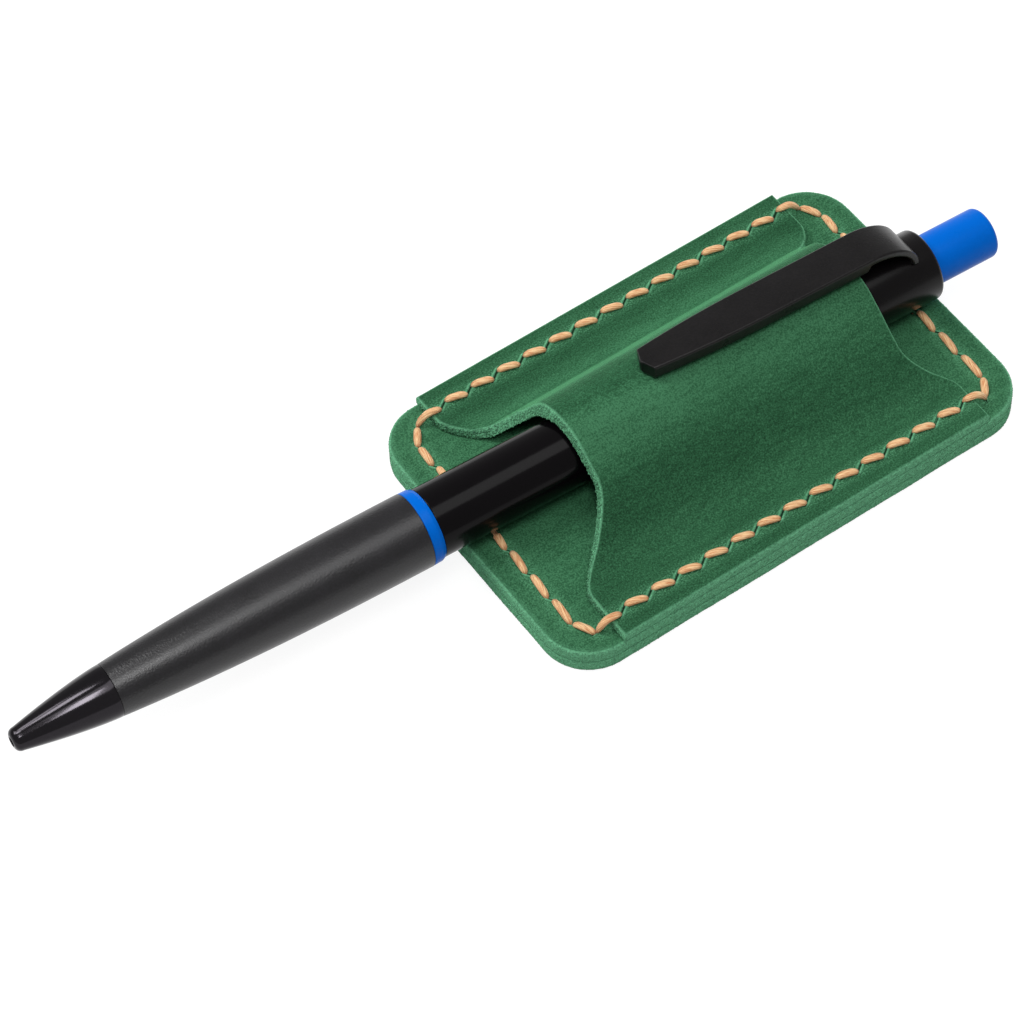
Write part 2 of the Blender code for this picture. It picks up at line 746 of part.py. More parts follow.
def build_barrel(parts, axis, gloss):
    """The gloss rear barrel, with a spigot that the cap is pressed on."""
    end = BARREL_SHOULDER + SPIGOT_LENGTH
    socket = BUSH_RADIUS + SEAT_GAP
    socket_end = BARREL_FRONT + BUSH_REACH + SEAT_GAP
    outer = [
        (end, SPIGOT_RADIUS),
        (BARREL_SHOULDER, SPIGOT_RADIUS),
        (BARREL_SHOULDER, BARREL_RADIUS),
        (BARREL_FRONT, BARREL_RADIUS),
    ]
    inner = [
        (BARREL_FRONT, socket),
        (socket_end, socket),
        (socket_end, BARREL_BORE_RADIUS),
        (end, BARREL_BORE_RADIUS),
    ]
    turned("upper_barrel", outer, inner, parts, gloss, axis)


def build_cap(parts, cutters, axis, clip_side, gloss):
    """The cap at the rear end, with the button's hole and the slot for the clip's foot."""
    bore = SPIGOT_RADIUS + RUNNING_GAP
    hole = BUTTON_RADIUS + RUNNING_GAP
    wall_front = BARREL_SHOULDER + SPIGOT_LENGTH + SEAT_GAP
    outer = [
        (CAP_BACK, CAP_RADIUS - CAP_END_ROUND),
        (CAP_BACK - CAP_END_ROUND * ROUND_MIDDLE, CAP_RADIUS - CAP_END_ROUND * ROUND_MIDDLE),
        (CAP_BACK - CAP_END_ROUND, CAP_RADIUS),
        (CAP_FRONT, CAP_RADIUS),
    ]
    inner = [(CAP_FRONT, bore), (wall_front, bore), (wall_front, hole), (CAP_BACK, hole)]
    cap = turned("clip_cap", outer, inner, parts, gloss, axis)
    cap.parent = clip_side
    front = CLIP_ROOT_BACK - CLIP_ARCH_WALL
    middle = (front + CLIP_ROOT_BACK) / 2
    size = (CLIP_ARCH_WALL + 3 * SEAT_GAP, CLIP_WIDTH + 2 * SEAT_GAP, CAP_RADIUS)
    slot = boxes("clip_slot", [((middle, 0.0, bore - SEAM + CAP_RADIUS / 2), 0.0)], size, cutters, clip_side)
    hide_cutter(slot)
    boolean(cap, slot, "DIFFERENCE")


def arch_curve(centre, half_length, rise, foot, steps=7):
    """A quarter of an ellipse over the cap, as station, height points from its top down to the foot."""
    centre_x, centre_z = centre
    last = math.acos((foot - centre_z) / rise)
    points = []
    for step in range(steps + 1):
        angle = last * step / steps
        points.append((centre_x + half_length * math.sin(angle), centre_z + rise * math.cos(angle)))
    return points


def build_clip(parts, cutters, clip_side, satin):
    """The pocket clip: its side view, cut to the outline that it has from above.

    Its origin is on the line at its foot that it flexes about.
    """
    lower_edge = CLIP_WIDTH / 2 * math.sin(CLIP_ROLL)
    under = (ARCH_RADIUS + SLEEVE_THICKNESS + CLIP_LEATHER_GAP + lower_edge) / math.cos(CLIP_ROLL)
    top = under + CLIP_THICKNESS
    foot = SPIGOT_RADIUS + SEAT_GAP
    tip = CLIP_ROOT_BACK - CLIP_REACH
    centre = (CLIP_ROOT_BACK - CLIP_ARCH_LENGTH, CAP_RADIUS - CLIP_ARCH_SINK)
    rise = top - centre[1]
    outer = arch_curve(centre, CLIP_ARCH_LENGTH, rise, foot)
    inner = arch_curve(centre, CLIP_ARCH_LENGTH - CLIP_ARCH_WALL, rise - CLIP_ARCH_WALL, foot)
    thinning = (centre[0] - (CLIP_THICKNESS - CLIP_ARCH_WALL), under)
    side = [(tip, under), (tip, top)] + outer + list(reversed(inner)) + [thinning]
    hinge_height = SPIGOT_RADIUS + 2 * SEAT_GAP
    outline = [(station - CLIP_HINGE_STATION, height - hinge_height) for station, height in side]
    half = CLIP_WIDTH / 2
    clip = prism("pocket_clip", outline, -half, half, parts, satin)
    for corner in clip.data.vertices:
        across, height = -corner.co.z, corner.co.y
        corner.co.y = across
        corner.co.z = height
    clip.location = (0.0, 0.0, 0.0)
    place_in_parent(clip, clip_side, (CLIP_HINGE_STATION, 0.0, hinge_height))
    plan = clip_plan(tip - CLIP_HINGE_STATION, CLIP_ROOT_BACK - CLIP_HINGE_STATION)
    cutter = prism("clip_plan", plan, -CAP_RADIUS, CAP_RADIUS + top, cutters)
    place_in_parent(cutter, clip_side, (CLIP_HINGE_STATION, 0.0, hinge_height))
    hide_cutter(cutter)
    boolean(clip, cutter, "INTERSECT")
    return hinge_height


def clip_plan(tip, back, steps=5):
    """The clip from above: a blunt point, and sides that swell to the full width."""
    half = CLIP_WIDTH / 2 + SEAM
    corner = CLIP_TIP_WIDTH / 2
    right = [(tip - SEAM / 2, 0.0)]
    for step in range(steps + 1):
        share = step / steps
        swell = 1 - (1 - share) ** 2
        right.append((tip + CLIP_TIP_POINT + CLIP_TAPER_LENGTH * share, corner + (half - corner) * swell))
    right.append((back + CUT_MARGIN, half))
    left = [(x, -y) for x, y in reversed(right[1:])]
    return left + right


def place_in_parent(item, parent, location):
    """Parents an object and puts its origin at a place in the parent's frame."""
    item.parent = parent
    item.matrix_parent_inverse.identity()
    item.location = location
    item.rotation_euler = (0.0, 0.0, 0.0)


def build_button(parts, axis, blue):
    """The push button, a cup with a round end."""
    floor = BUTTON_BACK - BUTTON_FLOOR
    outer = [
        (BUTTON_BACK, 0.0),
        (BUTTON_BACK, BUTTON_RADIUS - BUTTON_END_ROUND),
        (BUTTON_BACK - BUTTON_END_ROUND * ROUND_MIDDLE, BUTTON_RADIUS - BUTTON_END_ROUND * ROUND_MIDDLE),
        (BUTTON_BACK - BUTTON_END_ROUND, BUTTON_RADIUS),
        (BUTTON_FRONT, BUTTON_RADIUS),
        (BUTTON_FRONT, BUTTON_BORE_RADIUS),
        (floor, BUTTON_BORE_RADIUS),
        (floor, 0.0),
    ]
    turned("push_button", outer, [], parts, blue, axis)


def build_plunger(parts, axis, acetal):
    """The button's inner stem, whose keys run in the guide sleeve."""
    head_front = BUTTON_FRONT - SEAT_GAP
    end = head_front + PLUNGER_HEAD_LENGTH
    outer = [
        (end, 0.0),
        (end, PLUNGER_HEAD_RADIUS),
        (head_front, PLUNGER_HEAD_RADIUS),
        (head_front, STEM_RADIUS),
        (PLUNGER_FRONT, STEM_RADIUS),
        (PLUNGER_FRONT, 0.0),
    ]
    stem = turned("button_plunger", outer, [], parts, acetal, axis, SMALL_TURN_STEPS)
    add_keys(stem, PLUNGER_FRONT + SEAT_GAP, PLUNGER_FRONT + ROTOR_LENGTH / 2, axis)


def build_rotor(parts, axis, acetal):
    """The rotor of the click mechanism, with a pointed rear end."""
    shoulder = ROTOR_BACK - SEAT_GAP
    outer = [
        (ROTOR_BACK, 0.0),
        (shoulder, STEM_RADIUS),
        (ROTOR_FRONT, STEM_RADIUS),
        (ROTOR_FRONT, 0.0),
    ]
    rotor = turned("cam_rotor", outer, [], parts, acetal, axis, SMALL_TURN_STEPS)
    add_keys(rotor, ROTOR_FRONT + SEAT_GAP, shoulder - SEAT_GAP, axis)


def key_boxes(name, front, back, low, high, width, group, axis):
    """Boxes round the pen's axis, from one radius to another."""
    middle = ((front + back) / 2, 0.0, (low + high) / 2)
    shape = bmesh.new()
    for index in range(KEYWAY_COUNT):
        block = bmesh.ops.create_cube(shape, size=1.0)["verts"]
        bmesh.ops.scale(shape, verts=block, vec=(back - front, width, high - low))
        bmesh.ops.translate(shape, verts=block, vec=middle)
        spin = rotation_about(Vector((1.0, 0.0, 0.0)), math.tau * index / KEYWAY_COUNT)
        bmesh.ops.rotate(shape, verts=block, cent=(0, 0, 0), matrix=spin)
    mesh = bpy.data.meshes.new(name)
    shape.to_mesh(mesh)
    shape.free()
    item = add_object(name, mesh, group, None, axis)
    hide_cutter(item)
    return item


def add_keys(item, front, back, axis):
    """Joins four keys to a turned stem."""
    group = bpy.data.collections["cutters"]
    low = STEM_RADIUS / 2
    keys = key_boxes(item.name + "_keys", front, back, low, KEY_RADIUS, KEY_WIDTH, group, axis)
    boolean(item, keys, "UNION")


def build_guide(parts, cutters, axis, acetal):
    """The guide sleeve, fixed in the barrel, with a keyway for each key."""
    radius = BARREL_BORE_RADIUS - SEAT_GAP
    outer = [(GUIDE_BACK, radius), (GUIDE_FRONT, radius)]
    inner = [(GUIDE_FRONT, GUIDE_BORE_RADIUS), (GUIDE_BACK, GUIDE_BORE_RADIUS)]
    guide = turned("guide_sleeve", outer, inner, parts, acetal, axis, SMALL_TURN_STEPS)
    low = GUIDE_BORE_RADIUS * KEYWAY_START
    front = GUIDE_FRONT - CUT_MARGIN
    back = GUIDE_BACK + CUT_MARGIN
    ways = key_boxes("keyways", front, back, low, KEYWAY_RADIUS, KEYWAY_WIDTH, cutters, axis)
    boolean(guide, ways, "DIFFERENCE")


def build_refill(parts, axis, metal, brass, plastic):
    """The refill: tube, point, ball and plug."""
    collar_back = COLLAR_FRONT + REFILL_COLLAR_LENGTH
    outer = [
        (TUBE_BACK, REFILL_RADIUS),
        (collar_back, REFILL_RADIUS),
        (collar_back, REFILL_COLLAR_RADIUS),
        (COLLAR_FRONT, REFILL_COLLAR_RADIUS),
        (COLLAR_FRONT, REFILL_RADIUS),
        (TUBE_FRONT, REFILL_RADIUS),
    ]
    inner = [(TUBE_FRONT, REFILL_BORE_RADIUS), (TUBE_BACK, REFILL_BORE_RADIUS)]
    turned("refill_tube", outer, inner, parts, metal, axis, SMALL_TURN_STEPS)

    tail = REFILL_BORE_RADIUS - RUNNING_GAP
    shank = REFILL_BORE_RADIUS
    socket = BALL_RADIUS + BALL_GAP
    socket_end = POINT_RECESS + 2 * socket
    tail_end = TUBE_FRONT + POINT_TAIL_LENGTH
    outer = [
        (tail_end, 0.0),
        (tail_end, tail),
        (TUBE_FRONT - SEAM, tail),
        (TUBE_FRONT - SEAM, shank),
        (CONE_BACK, shank),
        (NEEDLE_BACK, POINT_NEEDLE_RADIUS),
        (POINT_RECESS, POINT_NEEDLE_RADIUS),
        (POINT_RECESS, socket),
        (socket_end, socket),
        (socket_end, 0.0),
    ]
    turned("refill_point", outer, [], parts, brass, axis, SMALL_TURN_STEPS)

    shape = bmesh.new()
    bmesh.ops.create_uvsphere(shape, u_segments=12, v_segments=8, radius=BALL_RADIUS)
    mesh = bpy.data.meshes.new("writing_ball")
    shape.to_mesh(mesh)
    shape.free()
    mesh.shade_smooth()
    ball = add_object("writing_ball", mesh, parts, metal, axis)
    ball.location.x = POINT_RECESS + BALL_RADIUS * BALL_SEAT

    head_front = TUBE_BACK + SEAM
    stem_end = TUBE_BACK - PLUG_STEM_LENGTH
    outer = [
        (PLUG_BACK, 0.0),
        (PLUG_BACK, REFILL_RADIUS),
        (head_front, REFILL_RADIUS),
        (head_front, tail),
        (stem_end, tail),
        (stem_end, 0.0),
    ]
    turned("refill_plug", outer, [], parts, plastic, axis, SMALL_TURN_STEPS)


def build_spring(parts, axis, metal):
    """The return spring, from the nose's shoulder to the refill's collar."""
    count = SPRING_TURNS * SPRING_POINTS_PER_TURN
    route = []
    for index in range(count + 1):
        angle = math.tau * index / SPRING_POINTS_PER_TURN
        station = SPRING_FRONT + SPRING_LENGTH * index / count
        route.append((station, SPRING_MEAN_RADIUS * math.cos(angle), SPRING_MEAN_RADIUS * math.sin(angle)))
    spring = tube("return_spring", route, SPRING_WIRE_RADIUS, parts, metal)
    place_in_parent(spring, axis, (0.0, 0.0, 0.0))
    pitch = SPRING_LENGTH / SPRING_TURNS
    print("spring gap to itself, mm:", round((pitch - 2 * SPRING_WIRE_RADIUS) * 1000, 3))


def main():
    """Builds the case and the pen."""
    clear_scene()
    parts = make_collection("leather_pen_case")
    cutters = make_collection("cutters")

    leather = make_material("green_leather", LEATHER_GREEN, 0.55)
    thread = make_material("waxed_thread", THREAD_PEACH, 0.60)
    gunmetal = make_material("nose_gunmetal", METAL_GUN, 0.15, 1.0)
    rubber = make_material("soft_touch_grey", GRIP_GREY, 0.70)
    gloss = make_material("gloss_black", BLACK_GLOSS, 0.15)
    satin = make_material("satin_black", BLACK_SATIN, 0.35)
    blue = make_material("accent_blue", ACCENT_BLUE, 0.25)
    acetal = make_material("white_acetal", WHITE_ACETAL, 0.40)
    brass = make_material("brass", BRASS, 0.30, 1.0)
    steel = make_material("steel", STEEL, 0.25, 1.0)

    slits = build_panels(parts, cutters, leather)
    build_sleeve(parts, cutters, leather, slits)
    build_thread("stitch_thread_a", 0, parts, thread)
    build_thread("stitch_thread_b", 1, parts, thread)

    tip = (PEN_TIP_X, pen_line_y(PEN_TIP_X), PEN_AXIS_Z)
    axis = add_empty("pen_axis", parts, tip, (0.0, 0.0, PEN_SKEW))
    clip_side = add_empty("clip_side", parts, (0.0, 0.0, 0.0), (-CLIP_ROLL, 0.0, 0.0), axis)

    spigot = build_nose(parts, axis, gunmetal)
    build_grip(parts, axis, rubber, spigot)
    build_ring(parts, axis, blue)
    build_bush(parts, axis, brass)
    build_barrel(parts, axis, gloss)
    build_cap(parts, cutters, axis, clip_side, gloss)
    build_clip(parts, cutters, clip_side, satin)
    build_button(parts, axis, blue)
    build_plunger(parts, axis, acetal)
    build_rotor(parts, axis, acetal)
    build_guide(parts, cutters, axis, acetal)
    build_refill(parts, axis, steel, brass, acetal)
    build_spring(parts, axis, steel)
    bpy.context.view_layer.update()


main()
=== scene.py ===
"""Leather pen case with a retractable ballpoint in its sleeve, finished for a photoreal picture.

Metres, +Z up. The origin is the centre of the case's back face, +X runs towards the pen's
button and +Y towards the steep side of the sleeve.
"""

import math

import bmesh
import bpy
import numpy as np
from bpy.props import FloatProperty, FloatVectorProperty, IntProperty, PointerProperty
from mathutils import Matrix, Vector, noise


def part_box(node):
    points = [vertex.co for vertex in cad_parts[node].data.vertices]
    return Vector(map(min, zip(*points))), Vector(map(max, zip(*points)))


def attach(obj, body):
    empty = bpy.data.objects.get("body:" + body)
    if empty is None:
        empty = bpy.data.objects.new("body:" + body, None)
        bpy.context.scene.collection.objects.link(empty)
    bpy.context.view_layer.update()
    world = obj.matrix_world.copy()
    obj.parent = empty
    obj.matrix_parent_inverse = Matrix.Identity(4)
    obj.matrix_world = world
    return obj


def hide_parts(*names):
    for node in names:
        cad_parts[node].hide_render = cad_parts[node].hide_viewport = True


bl_info = {
    "name": "Leather Pen Case",
    "version": (1, 0, 0),
    "blender": (4, 5, 0),
    "location": "View3D > Sidebar > Pen Case",
    "description": "Builds a hand-stitched leather pen case with a ballpoint in its sleeve",
    "category": "Add Mesh",
}

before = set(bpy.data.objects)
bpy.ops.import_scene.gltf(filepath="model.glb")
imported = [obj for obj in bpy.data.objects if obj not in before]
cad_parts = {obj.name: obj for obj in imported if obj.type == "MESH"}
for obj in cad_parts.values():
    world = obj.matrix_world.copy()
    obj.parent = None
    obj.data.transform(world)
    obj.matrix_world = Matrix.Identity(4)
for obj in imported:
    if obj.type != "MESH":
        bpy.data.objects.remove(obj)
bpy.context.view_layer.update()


def cad_extent(node, axis):
    """Size of a CAD node along one axis."""
    low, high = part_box(node)
    return high[axis] - low[axis]


def srgb(red, green, blue):
    """A colour given as screen values from 0 to 255, as the linear colour that a shader takes."""
    values = []
    for value in (red, green, blue):
        value /= 255
        values.append(value / 12.92 if value <= 0.04045 else ((value + 0.055) / 1.055) ** 2.4)
    return (*values, 1.0)


# Settings


def length_setting(name, description, default):
    """A size in metres that a user may change."""
    return FloatProperty(name=name, description=description, default=default, unit="LENGTH", precision=5)


def angle_setting(name, description, degrees):
    """An angle that a user may change."""
    return FloatProperty(name=name, description=description, default=math.radians(degrees), subtype="ANGLE")


def colour_setting(name, description, red, green, blue):
    """A colour that a user may change."""
    return FloatVectorProperty(
        name=name, description=description, default=srgb(red, green, blue)[:3], subtype="COLOR", min=0, max=1
    )


def number_setting(name, description, default):
    """A plain number that a user may change."""
    return FloatProperty(name=name, description=description, default=default)


def power_setting(name, description, watts):
    """The power of a lamp."""
    return FloatProperty(name=name, description=description, default=watts, unit="POWER")


class LeatherSettings(bpy.types.PropertyGroup):
    """Sizes and colours of the three leather panels."""

    length: length_setting("Case length", "Long side of the flat panels", cad_extent("base_panel", 0))
    width: length_setting("Case width", "Short side of the flat panels", cad_extent("base_panel", 1))
    corner: length_setting("Corner radius", "Round corners of the flat panels", 0.0066)
    back: length_setting("Back thickness", "Thickness of the panel that lies on the table", 0.0018)
    base: length_setting("Base thickness", "Thickness of the panel under the pen", 0.0018)
    sleeve: length_setting("Sleeve thickness", "Thickness of the arched panel", 0.0014)
    glue: length_setting("Glue line", "Gap between two panels", 0.0001)
    dye: colour_setting("Dye", "Grain side of the leather", 44, 91, 61)
    dye_dark: colour_setting("Dark dye", "Hollows of the grain", 28, 63, 41)
    dye_light: colour_setting("Rubbed dye", "Raised and rubbed places", 68, 124, 88)
    cut: colour_setting("Cut edge", "Raw cut edges", 127, 205, 158)
    flesh: colour_setting("Flesh side", "Rough underside", 58, 122, 84)
    nap: number_setting("Nap", "Tufts per square metre of raw edge", 1.2e7)


class SleeveSettings(bpy.types.PropertyGroup):
    """Shape of the arched panel."""

    clearance: length_setting("Clearance", "Room between the pen and the arch", 0.00025)
    near_slope: angle_setting("Near slope", "Slope of the gentle side", 39)
    far_slope: angle_setting("Far slope", "Slope of the steep side", 55)
    near_fillet: length_setting("Near bend", "Radius where the gentle side meets the flange", 0.008)
    far_fillet: length_setting("Far bend", "Radius where the steep side meets the flange", 0.003)
    flange_end: length_setting("Flange end", "Half length of the panel along its flanges", 0.02795)
    front_depth: length_setting("Front mouth", "How far the front mouth is cut back", 0.0083)
    front_ramp: length_setting("Front ramp", "Length of the front mouth's curved sides", 0.0116)
    rear_depth: length_setting("Rear mouth", "How far the rear mouth is cut back", 0.0046)
    rear_ramp: length_setting("Rear ramp", "Length of the rear mouth's curved sides", 0.0078)
    lean: length_setting("Lean", "How far the flesh side stands out at the front mouth", 0.00085)
    near_inset: length_setting("Near inset", "How far the mouths start inside the near bend", 0.002)


class StitchSettings(bpy.types.PropertyGroup):
    """The saddle stitch round the case."""

    pitch: length_setting("Pitch", "Distance from hole to hole", 0.004)
    side_inset: length_setting("Side inset", "From the long edges to the seam", 0.00315)
    end_inset: length_setting("End inset", "From the short edges to the seam", 0.00365)
    side_margin: length_setting("Side margin", "From a case end to the last hole of a long row", 0.00525)
    end_margin: length_setting("End margin", "From a case side to the last hole of a short row", 0.00585)
    drift: length_setting("Drift", "How far the hand-marked end rows wander", 0.0012)
    tilt: angle_setting("Slit tilt", "Slant of the slits to the seam", 35)
    spread: length_setting("Thread spread", "Distance between the two threads in a slit", 0.0014)
    width: length_setting("Thread width", "Width of a stitch", 0.00098)
    flatness: number_setting("Flatness", "Height of a stitch over its width", 0.74)
    turns: number_setting("Twist", "Turns of the thread in one stitch", 0.28)
    plies: IntProperty(name="Plies", description="Strands that show round the thread", default=9)
    light: colour_setting("Thread light", "Fibres on top", 255, 216, 162)
    dark: colour_setting("Thread dark", "Between the fibres", 198, 112, 60)


class PenSettings(bpy.types.PropertyGroup):
    """Sizes and colours of the ballpoint."""

    skew: angle_setting("Skew", "Turn of the pen in the case", -2.83)
    offset: length_setting("Offset", "How far the pen lies from the case's middle", 0.00115)
    rest_gap: length_setting("Rest gap", "From the base panel up to the grip", 0.0002)
    tip_x: length_setting("Tip", "Where the nose ends along the case", -0.0961436)
    nose: length_setting("Nose length", "Metal tip", 0.0131)
    grip: length_setting("Grip length", "Soft-touch front barrel", 0.0420)
    grip_radius: length_setting("Grip radius", "Thickest part of the pen", 0.0049)
    ring: length_setting("Ring length", "Coloured ring", 0.0016)
    barrel: length_setting("Barrel length", "Gloss rear barrel", 0.0597)
    barrel_radius: length_setting("Barrel radius", "Gloss rear barrel", 0.0046)
    cap: length_setting("Cap length", "Collar at the rear end", 0.0139)
    cap_radius: length_setting("Cap radius", "Collar at the rear end", 0.0048)
    button: length_setting("Button", "How far the button stands out", 0.0096)
    button_radius: length_setting("Button radius", "Push button", 0.0034)
    clip_roll: angle_setting("Clip roll", "Turn of the clip about the pen", 5.8)
    clip_width: length_setting("Clip width", "Along its parallel part", 0.0058)
    clip_tip_width: length_setting("Clip tip width", "Where the point starts", 0.0041)
    clip_point: length_setting("Clip point", "Length of the blunt point", 0.0008)
    clip_taper: length_setting("Clip taper", "Length over which the sides swell", 0.0160)
    clip_thickness: length_setting("Clip thickness", "Plate of the clip", 0.00185)
    clip_gap: length_setting("Clip gap", "Between the clip and the sleeve", 0.00012)
    clip_reach: length_setting("Clip reach", "From the root's back to the tip", 0.0397)
    clip_root: length_setting("Clip root", "From the cap's end to the root's back", 0.0025)
    clip_arch: length_setting("Clip arch", "Length of the bend over the cap", 0.0072)
    clip_sink: length_setting("Clip sink", "How deep the arch's ellipse is centred in the cap", 0.0008)
    clip_wall: length_setting("Clip arch wall", "Thickness of the bend", 0.00102)
    grip_colour: colour_setting("Grip", "Soft-touch coating", 14, 12, 16)
    barrel_colour: colour_setting("Barrel", "Gloss plastic", 7, 5, 7)
    clip_colour: colour_setting("Clip", "Satin plastic", 14, 12, 13)
    accent: colour_setting("Accent", "Ring and button", 0, 102, 206)
    nose_colour: colour_setting("Nose", "Polished plating", 46, 44, 47)


class StageSettings(bpy.types.PropertyGroup):
    """Light, floor and camera."""

    sky: number_setting("Sky", "Strength of the even light from all round", 0.21)
    mirrored: number_setting("Mirrored sky", "Strength of the backdrop in reflections", 0.5)
    window: power_setting("Window", "Large light behind the case", 1.8)
    rim: power_setting("Rim", "Low light behind the button", 1.2)
    key: power_setting("Key", "Long light over the pen", 1.0)
    nose: power_setting("Nose", "Small light over the nose", 0.8)
    strip: power_setting("Strip", "Narrow light over the nose", 0.5)
    focal: number_setting("Focal length", "Lens in millimetres", 139.22)


def case():
    """The leather's settings."""
    return bpy.context.scene.pen_case_leather


def sleeve():
    """The sleeve's settings."""
    return bpy.context.scene.pen_case_sleeve


def seam():
    """The stitch's settings."""
    return bpy.context.scene.pen_case_stitch


def pen():
    """The pen's settings."""
    return bpy.context.scene.pen_case_pen


def stage():
    """The stage's settings."""
    return bpy.context.scene.pen_case_stage


# Sizes that follow from the settings


def base_top():
    """Upper face of the base panel."""
    return case().back + case().glue + case().base


def flange_bottom():
    """Underside of the sleeve's flanges."""
    return base_top() + case().glue


def flange_top():
    """Upper face of the sleeve's flanges."""
    return flange_bottom() + case().sleeve


def pen_height():
    """Height of the pen's axis."""
    return base_top() + pen().rest_gap + pen().grip_radius


def arch_radius():
    """Inner radius of the sleeve over the pen."""
    return pen().grip_radius + sleeve().clearance


def pen_y(x):
    """Where the pen's axis lies across the case."""
    return pen().offset + math.tan(pen().skew) * x


def pen_frame():
    """Placement of the pen: its own X axis starts at the nose's tip and runs to the button."""
    place = Matrix.Translation((pen().tip_x, pen_y(pen().tip_x), pen_height()))
    return place @ Matrix.Rotation(pen().skew, 4, "Z")


def clip_frame():
    """The pen's placement, rolled to where the clip stands."""
    return pen_frame() @ Matrix.Rotation(-pen().clip_roll, 4, "X")


PIECE_GAP = 0.0001


def stations():
    """Where each of the pen's outer pieces starts and ends, from the nose's tip."""
    marks = {}
    front = 0.0
    for name in ("nose", "grip", "ring", "barrel", "cap"):
        marks[name + "_front"] = front
        marks[name + "_back"] = front + getattr(pen(), name)
        front = marks[name + "_back"] + PIECE_GAP
    marks["button_back"] = marks["cap_back"] + pen().button
    return marks


def seam_lines():
    """From the middle: x of the short rows, y of the long rows, and where the long and short rows end."""
    stitch = seam()
    half_length = case().length / 2
    half_width = case().width / 2
    row_x = half_length - stitch.end_inset
    row_y = half_width - stitch.side_inset
    return row_x, row_y, half_length - stitch.side_margin, half_width - stitch.end_margin


# Curves and chance


def smoothstep(value):
    """A ramp from 0 to 1 with soft ends."""
    value = min(1.0, max(0.0, value))
    return value * value * (3 - 2 * value)


def from_table(value, table):
    """A value read between the entries of a table of (place, value) pairs."""
    places, values = zip(*table)
    return float(np.interp(value, places, values))


def waver(x, y, z):
    """A smooth random value from -1 to 1 at a place."""
    return noise.noise(Vector((x, y, z)))


# Meshes


def finish_mesh(name, mesh, material, body, nodes, crease):
    """Makes a mesh a finished piece of the object, in place of the CAD nodes named."""
    mesh.materials.clear()
    mesh.materials.append(material)
    mesh.shade_smooth()
    mesh.set_sharp_from_angle(angle=math.radians(crease))
    piece = bpy.data.objects.new(name, mesh)
    bpy.context.scene.collection.objects.link(piece)
    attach(piece, body)
    if nodes:
        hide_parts(*nodes)
    return piece


DOUBLED = 1e-7


def mesh_of(name, points, faces, merge=False, outward=True, **stored):
    """A mesh with numbers stored on its points, merged where asked and turned outwards unless open."""
    mesh = bpy.data.meshes.new(name)
    mesh.from_pydata([tuple(point) for point in points], [], faces)
    for label, values in stored.items():
        store(mesh, label, values)
    if outward:
        shape = bmesh.new()
        shape.from_mesh(mesh)
        if merge:
            bmesh.ops.remove_doubles(shape, verts=shape.verts, dist=DOUBLED)
        bmesh.ops.recalc_face_normals(shape, faces=shape.faces)
        shape.to_mesh(mesh)
        shape.free()
    return mesh


def store(mesh, name, values):
    """Stores one number or one vector per point on a mesh."""
    values = np.asarray(values, np.float32)
    kind, field = ("FLOAT", "value") if values.ndim == 1 else ("FLOAT_VECTOR", "vector")
    attribute = mesh.attributes.new(name, kind, "POINT")
    attribute.data.foreach_set(field, values.ravel())


def grid_faces(rows, columns, closed_rows=False, closed_columns=False, first=0):
    """Quads of a grid of points that is stored row by row."""
    faces = []
    for row in range(rows if closed_rows else rows - 1):
        here = first + row * columns
        below = first + (row + 1) % rows * columns
        for column in range(columns if closed_columns else columns - 1):
            following = (column + 1) % columns
            faces.append((here + column, here + following, below + following, below + column))
    return faces


CORNER_STEPS = 5


def rounded_profile(corners):
    """Points of an outline whose corners, each (station, radius, rounding), are rounded."""
    points = []
    for index, (station, radius, rounding) in enumerate(corners):
        here = Vector((station, radius))
        if rounding == 0 or index in (0, len(corners) - 1):
            points.append(here)
            continue
        before = (Vector(corners[index - 1][:2]) - here).normalized()
        after = (Vector(corners[index + 1][:2]) - here).normalized()
        half = before.angle(after) / 2
        reach = rounding / math.tan(half)
        centre = here + (before + after).normalized() * (rounding / math.sin(half))
        first = (here + before * reach - centre).normalized()
        last = (here + after * reach - centre).normalized()
        for step in range(CORNER_STEPS + 1):
            points.append(centre + first.slerp(last, step / CORNER_STEPS).normalized() * rounding)
    return points


ON_AXIS = 1e-9
LATHE_STEPS = 112


def lathe(name, profile):
    """A solid of revolution on the pen's axis, from a closed outline or one that ends on the axis."""
    on_axis = profile[0][1] < ON_AXIS
    ring = [corner for corner in profile if corner[1] > ON_AXIS]
    points = []
    for step in range(LATHE_STEPS):
        angle = math.tau * step / LATHE_STEPS
        points += [(x, radius * math.cos(angle), radius * math.sin(angle)) for x, radius in ring]
    faces = grid_faces(LATHE_STEPS, len(ring), closed_rows=True, closed_columns=not on_axis)
    if on_axis:
        for end, (x, _) in ((0, profile[0]), (len(ring) - 1, profile[-1])):
            points.append((x, 0.0, 0.0))
            hub = len(points) - 1
            for step in range(LATHE_STEPS):
                following = (step + 1) % LATHE_STEPS
                faces.append((hub, step * len(ring) + end, following * len(ring) + end))
    mesh = mesh_of(name, points, faces, merge=True)
    mesh.transform(pen_frame())
    return mesh


# Shader and geometry nodes


def feed(tree, node, inputs):
    """Feeds a node's inputs with values or with other nodes' sockets."""
    for key, value in inputs.items():
        if isinstance(value, bpy.types.NodeSocket):
            tree.links.new(value, node.inputs[key])
        else:
            node.inputs[key].default_value = value


def add_node(tree, kind, inputs=None, **settings):
    """Adds a node with its settings and feeds its inputs."""
    node = tree.nodes.new(kind)
    for key, value in settings.items():
        setattr(node, key, value)
    feed(tree, node, inputs or {})
    return node


def maths(tree, operation, *values):
    """The result of a Math node."""
    return add_node(tree, "ShaderNodeMath", dict(enumerate(values)), operation=operation).outputs[0]


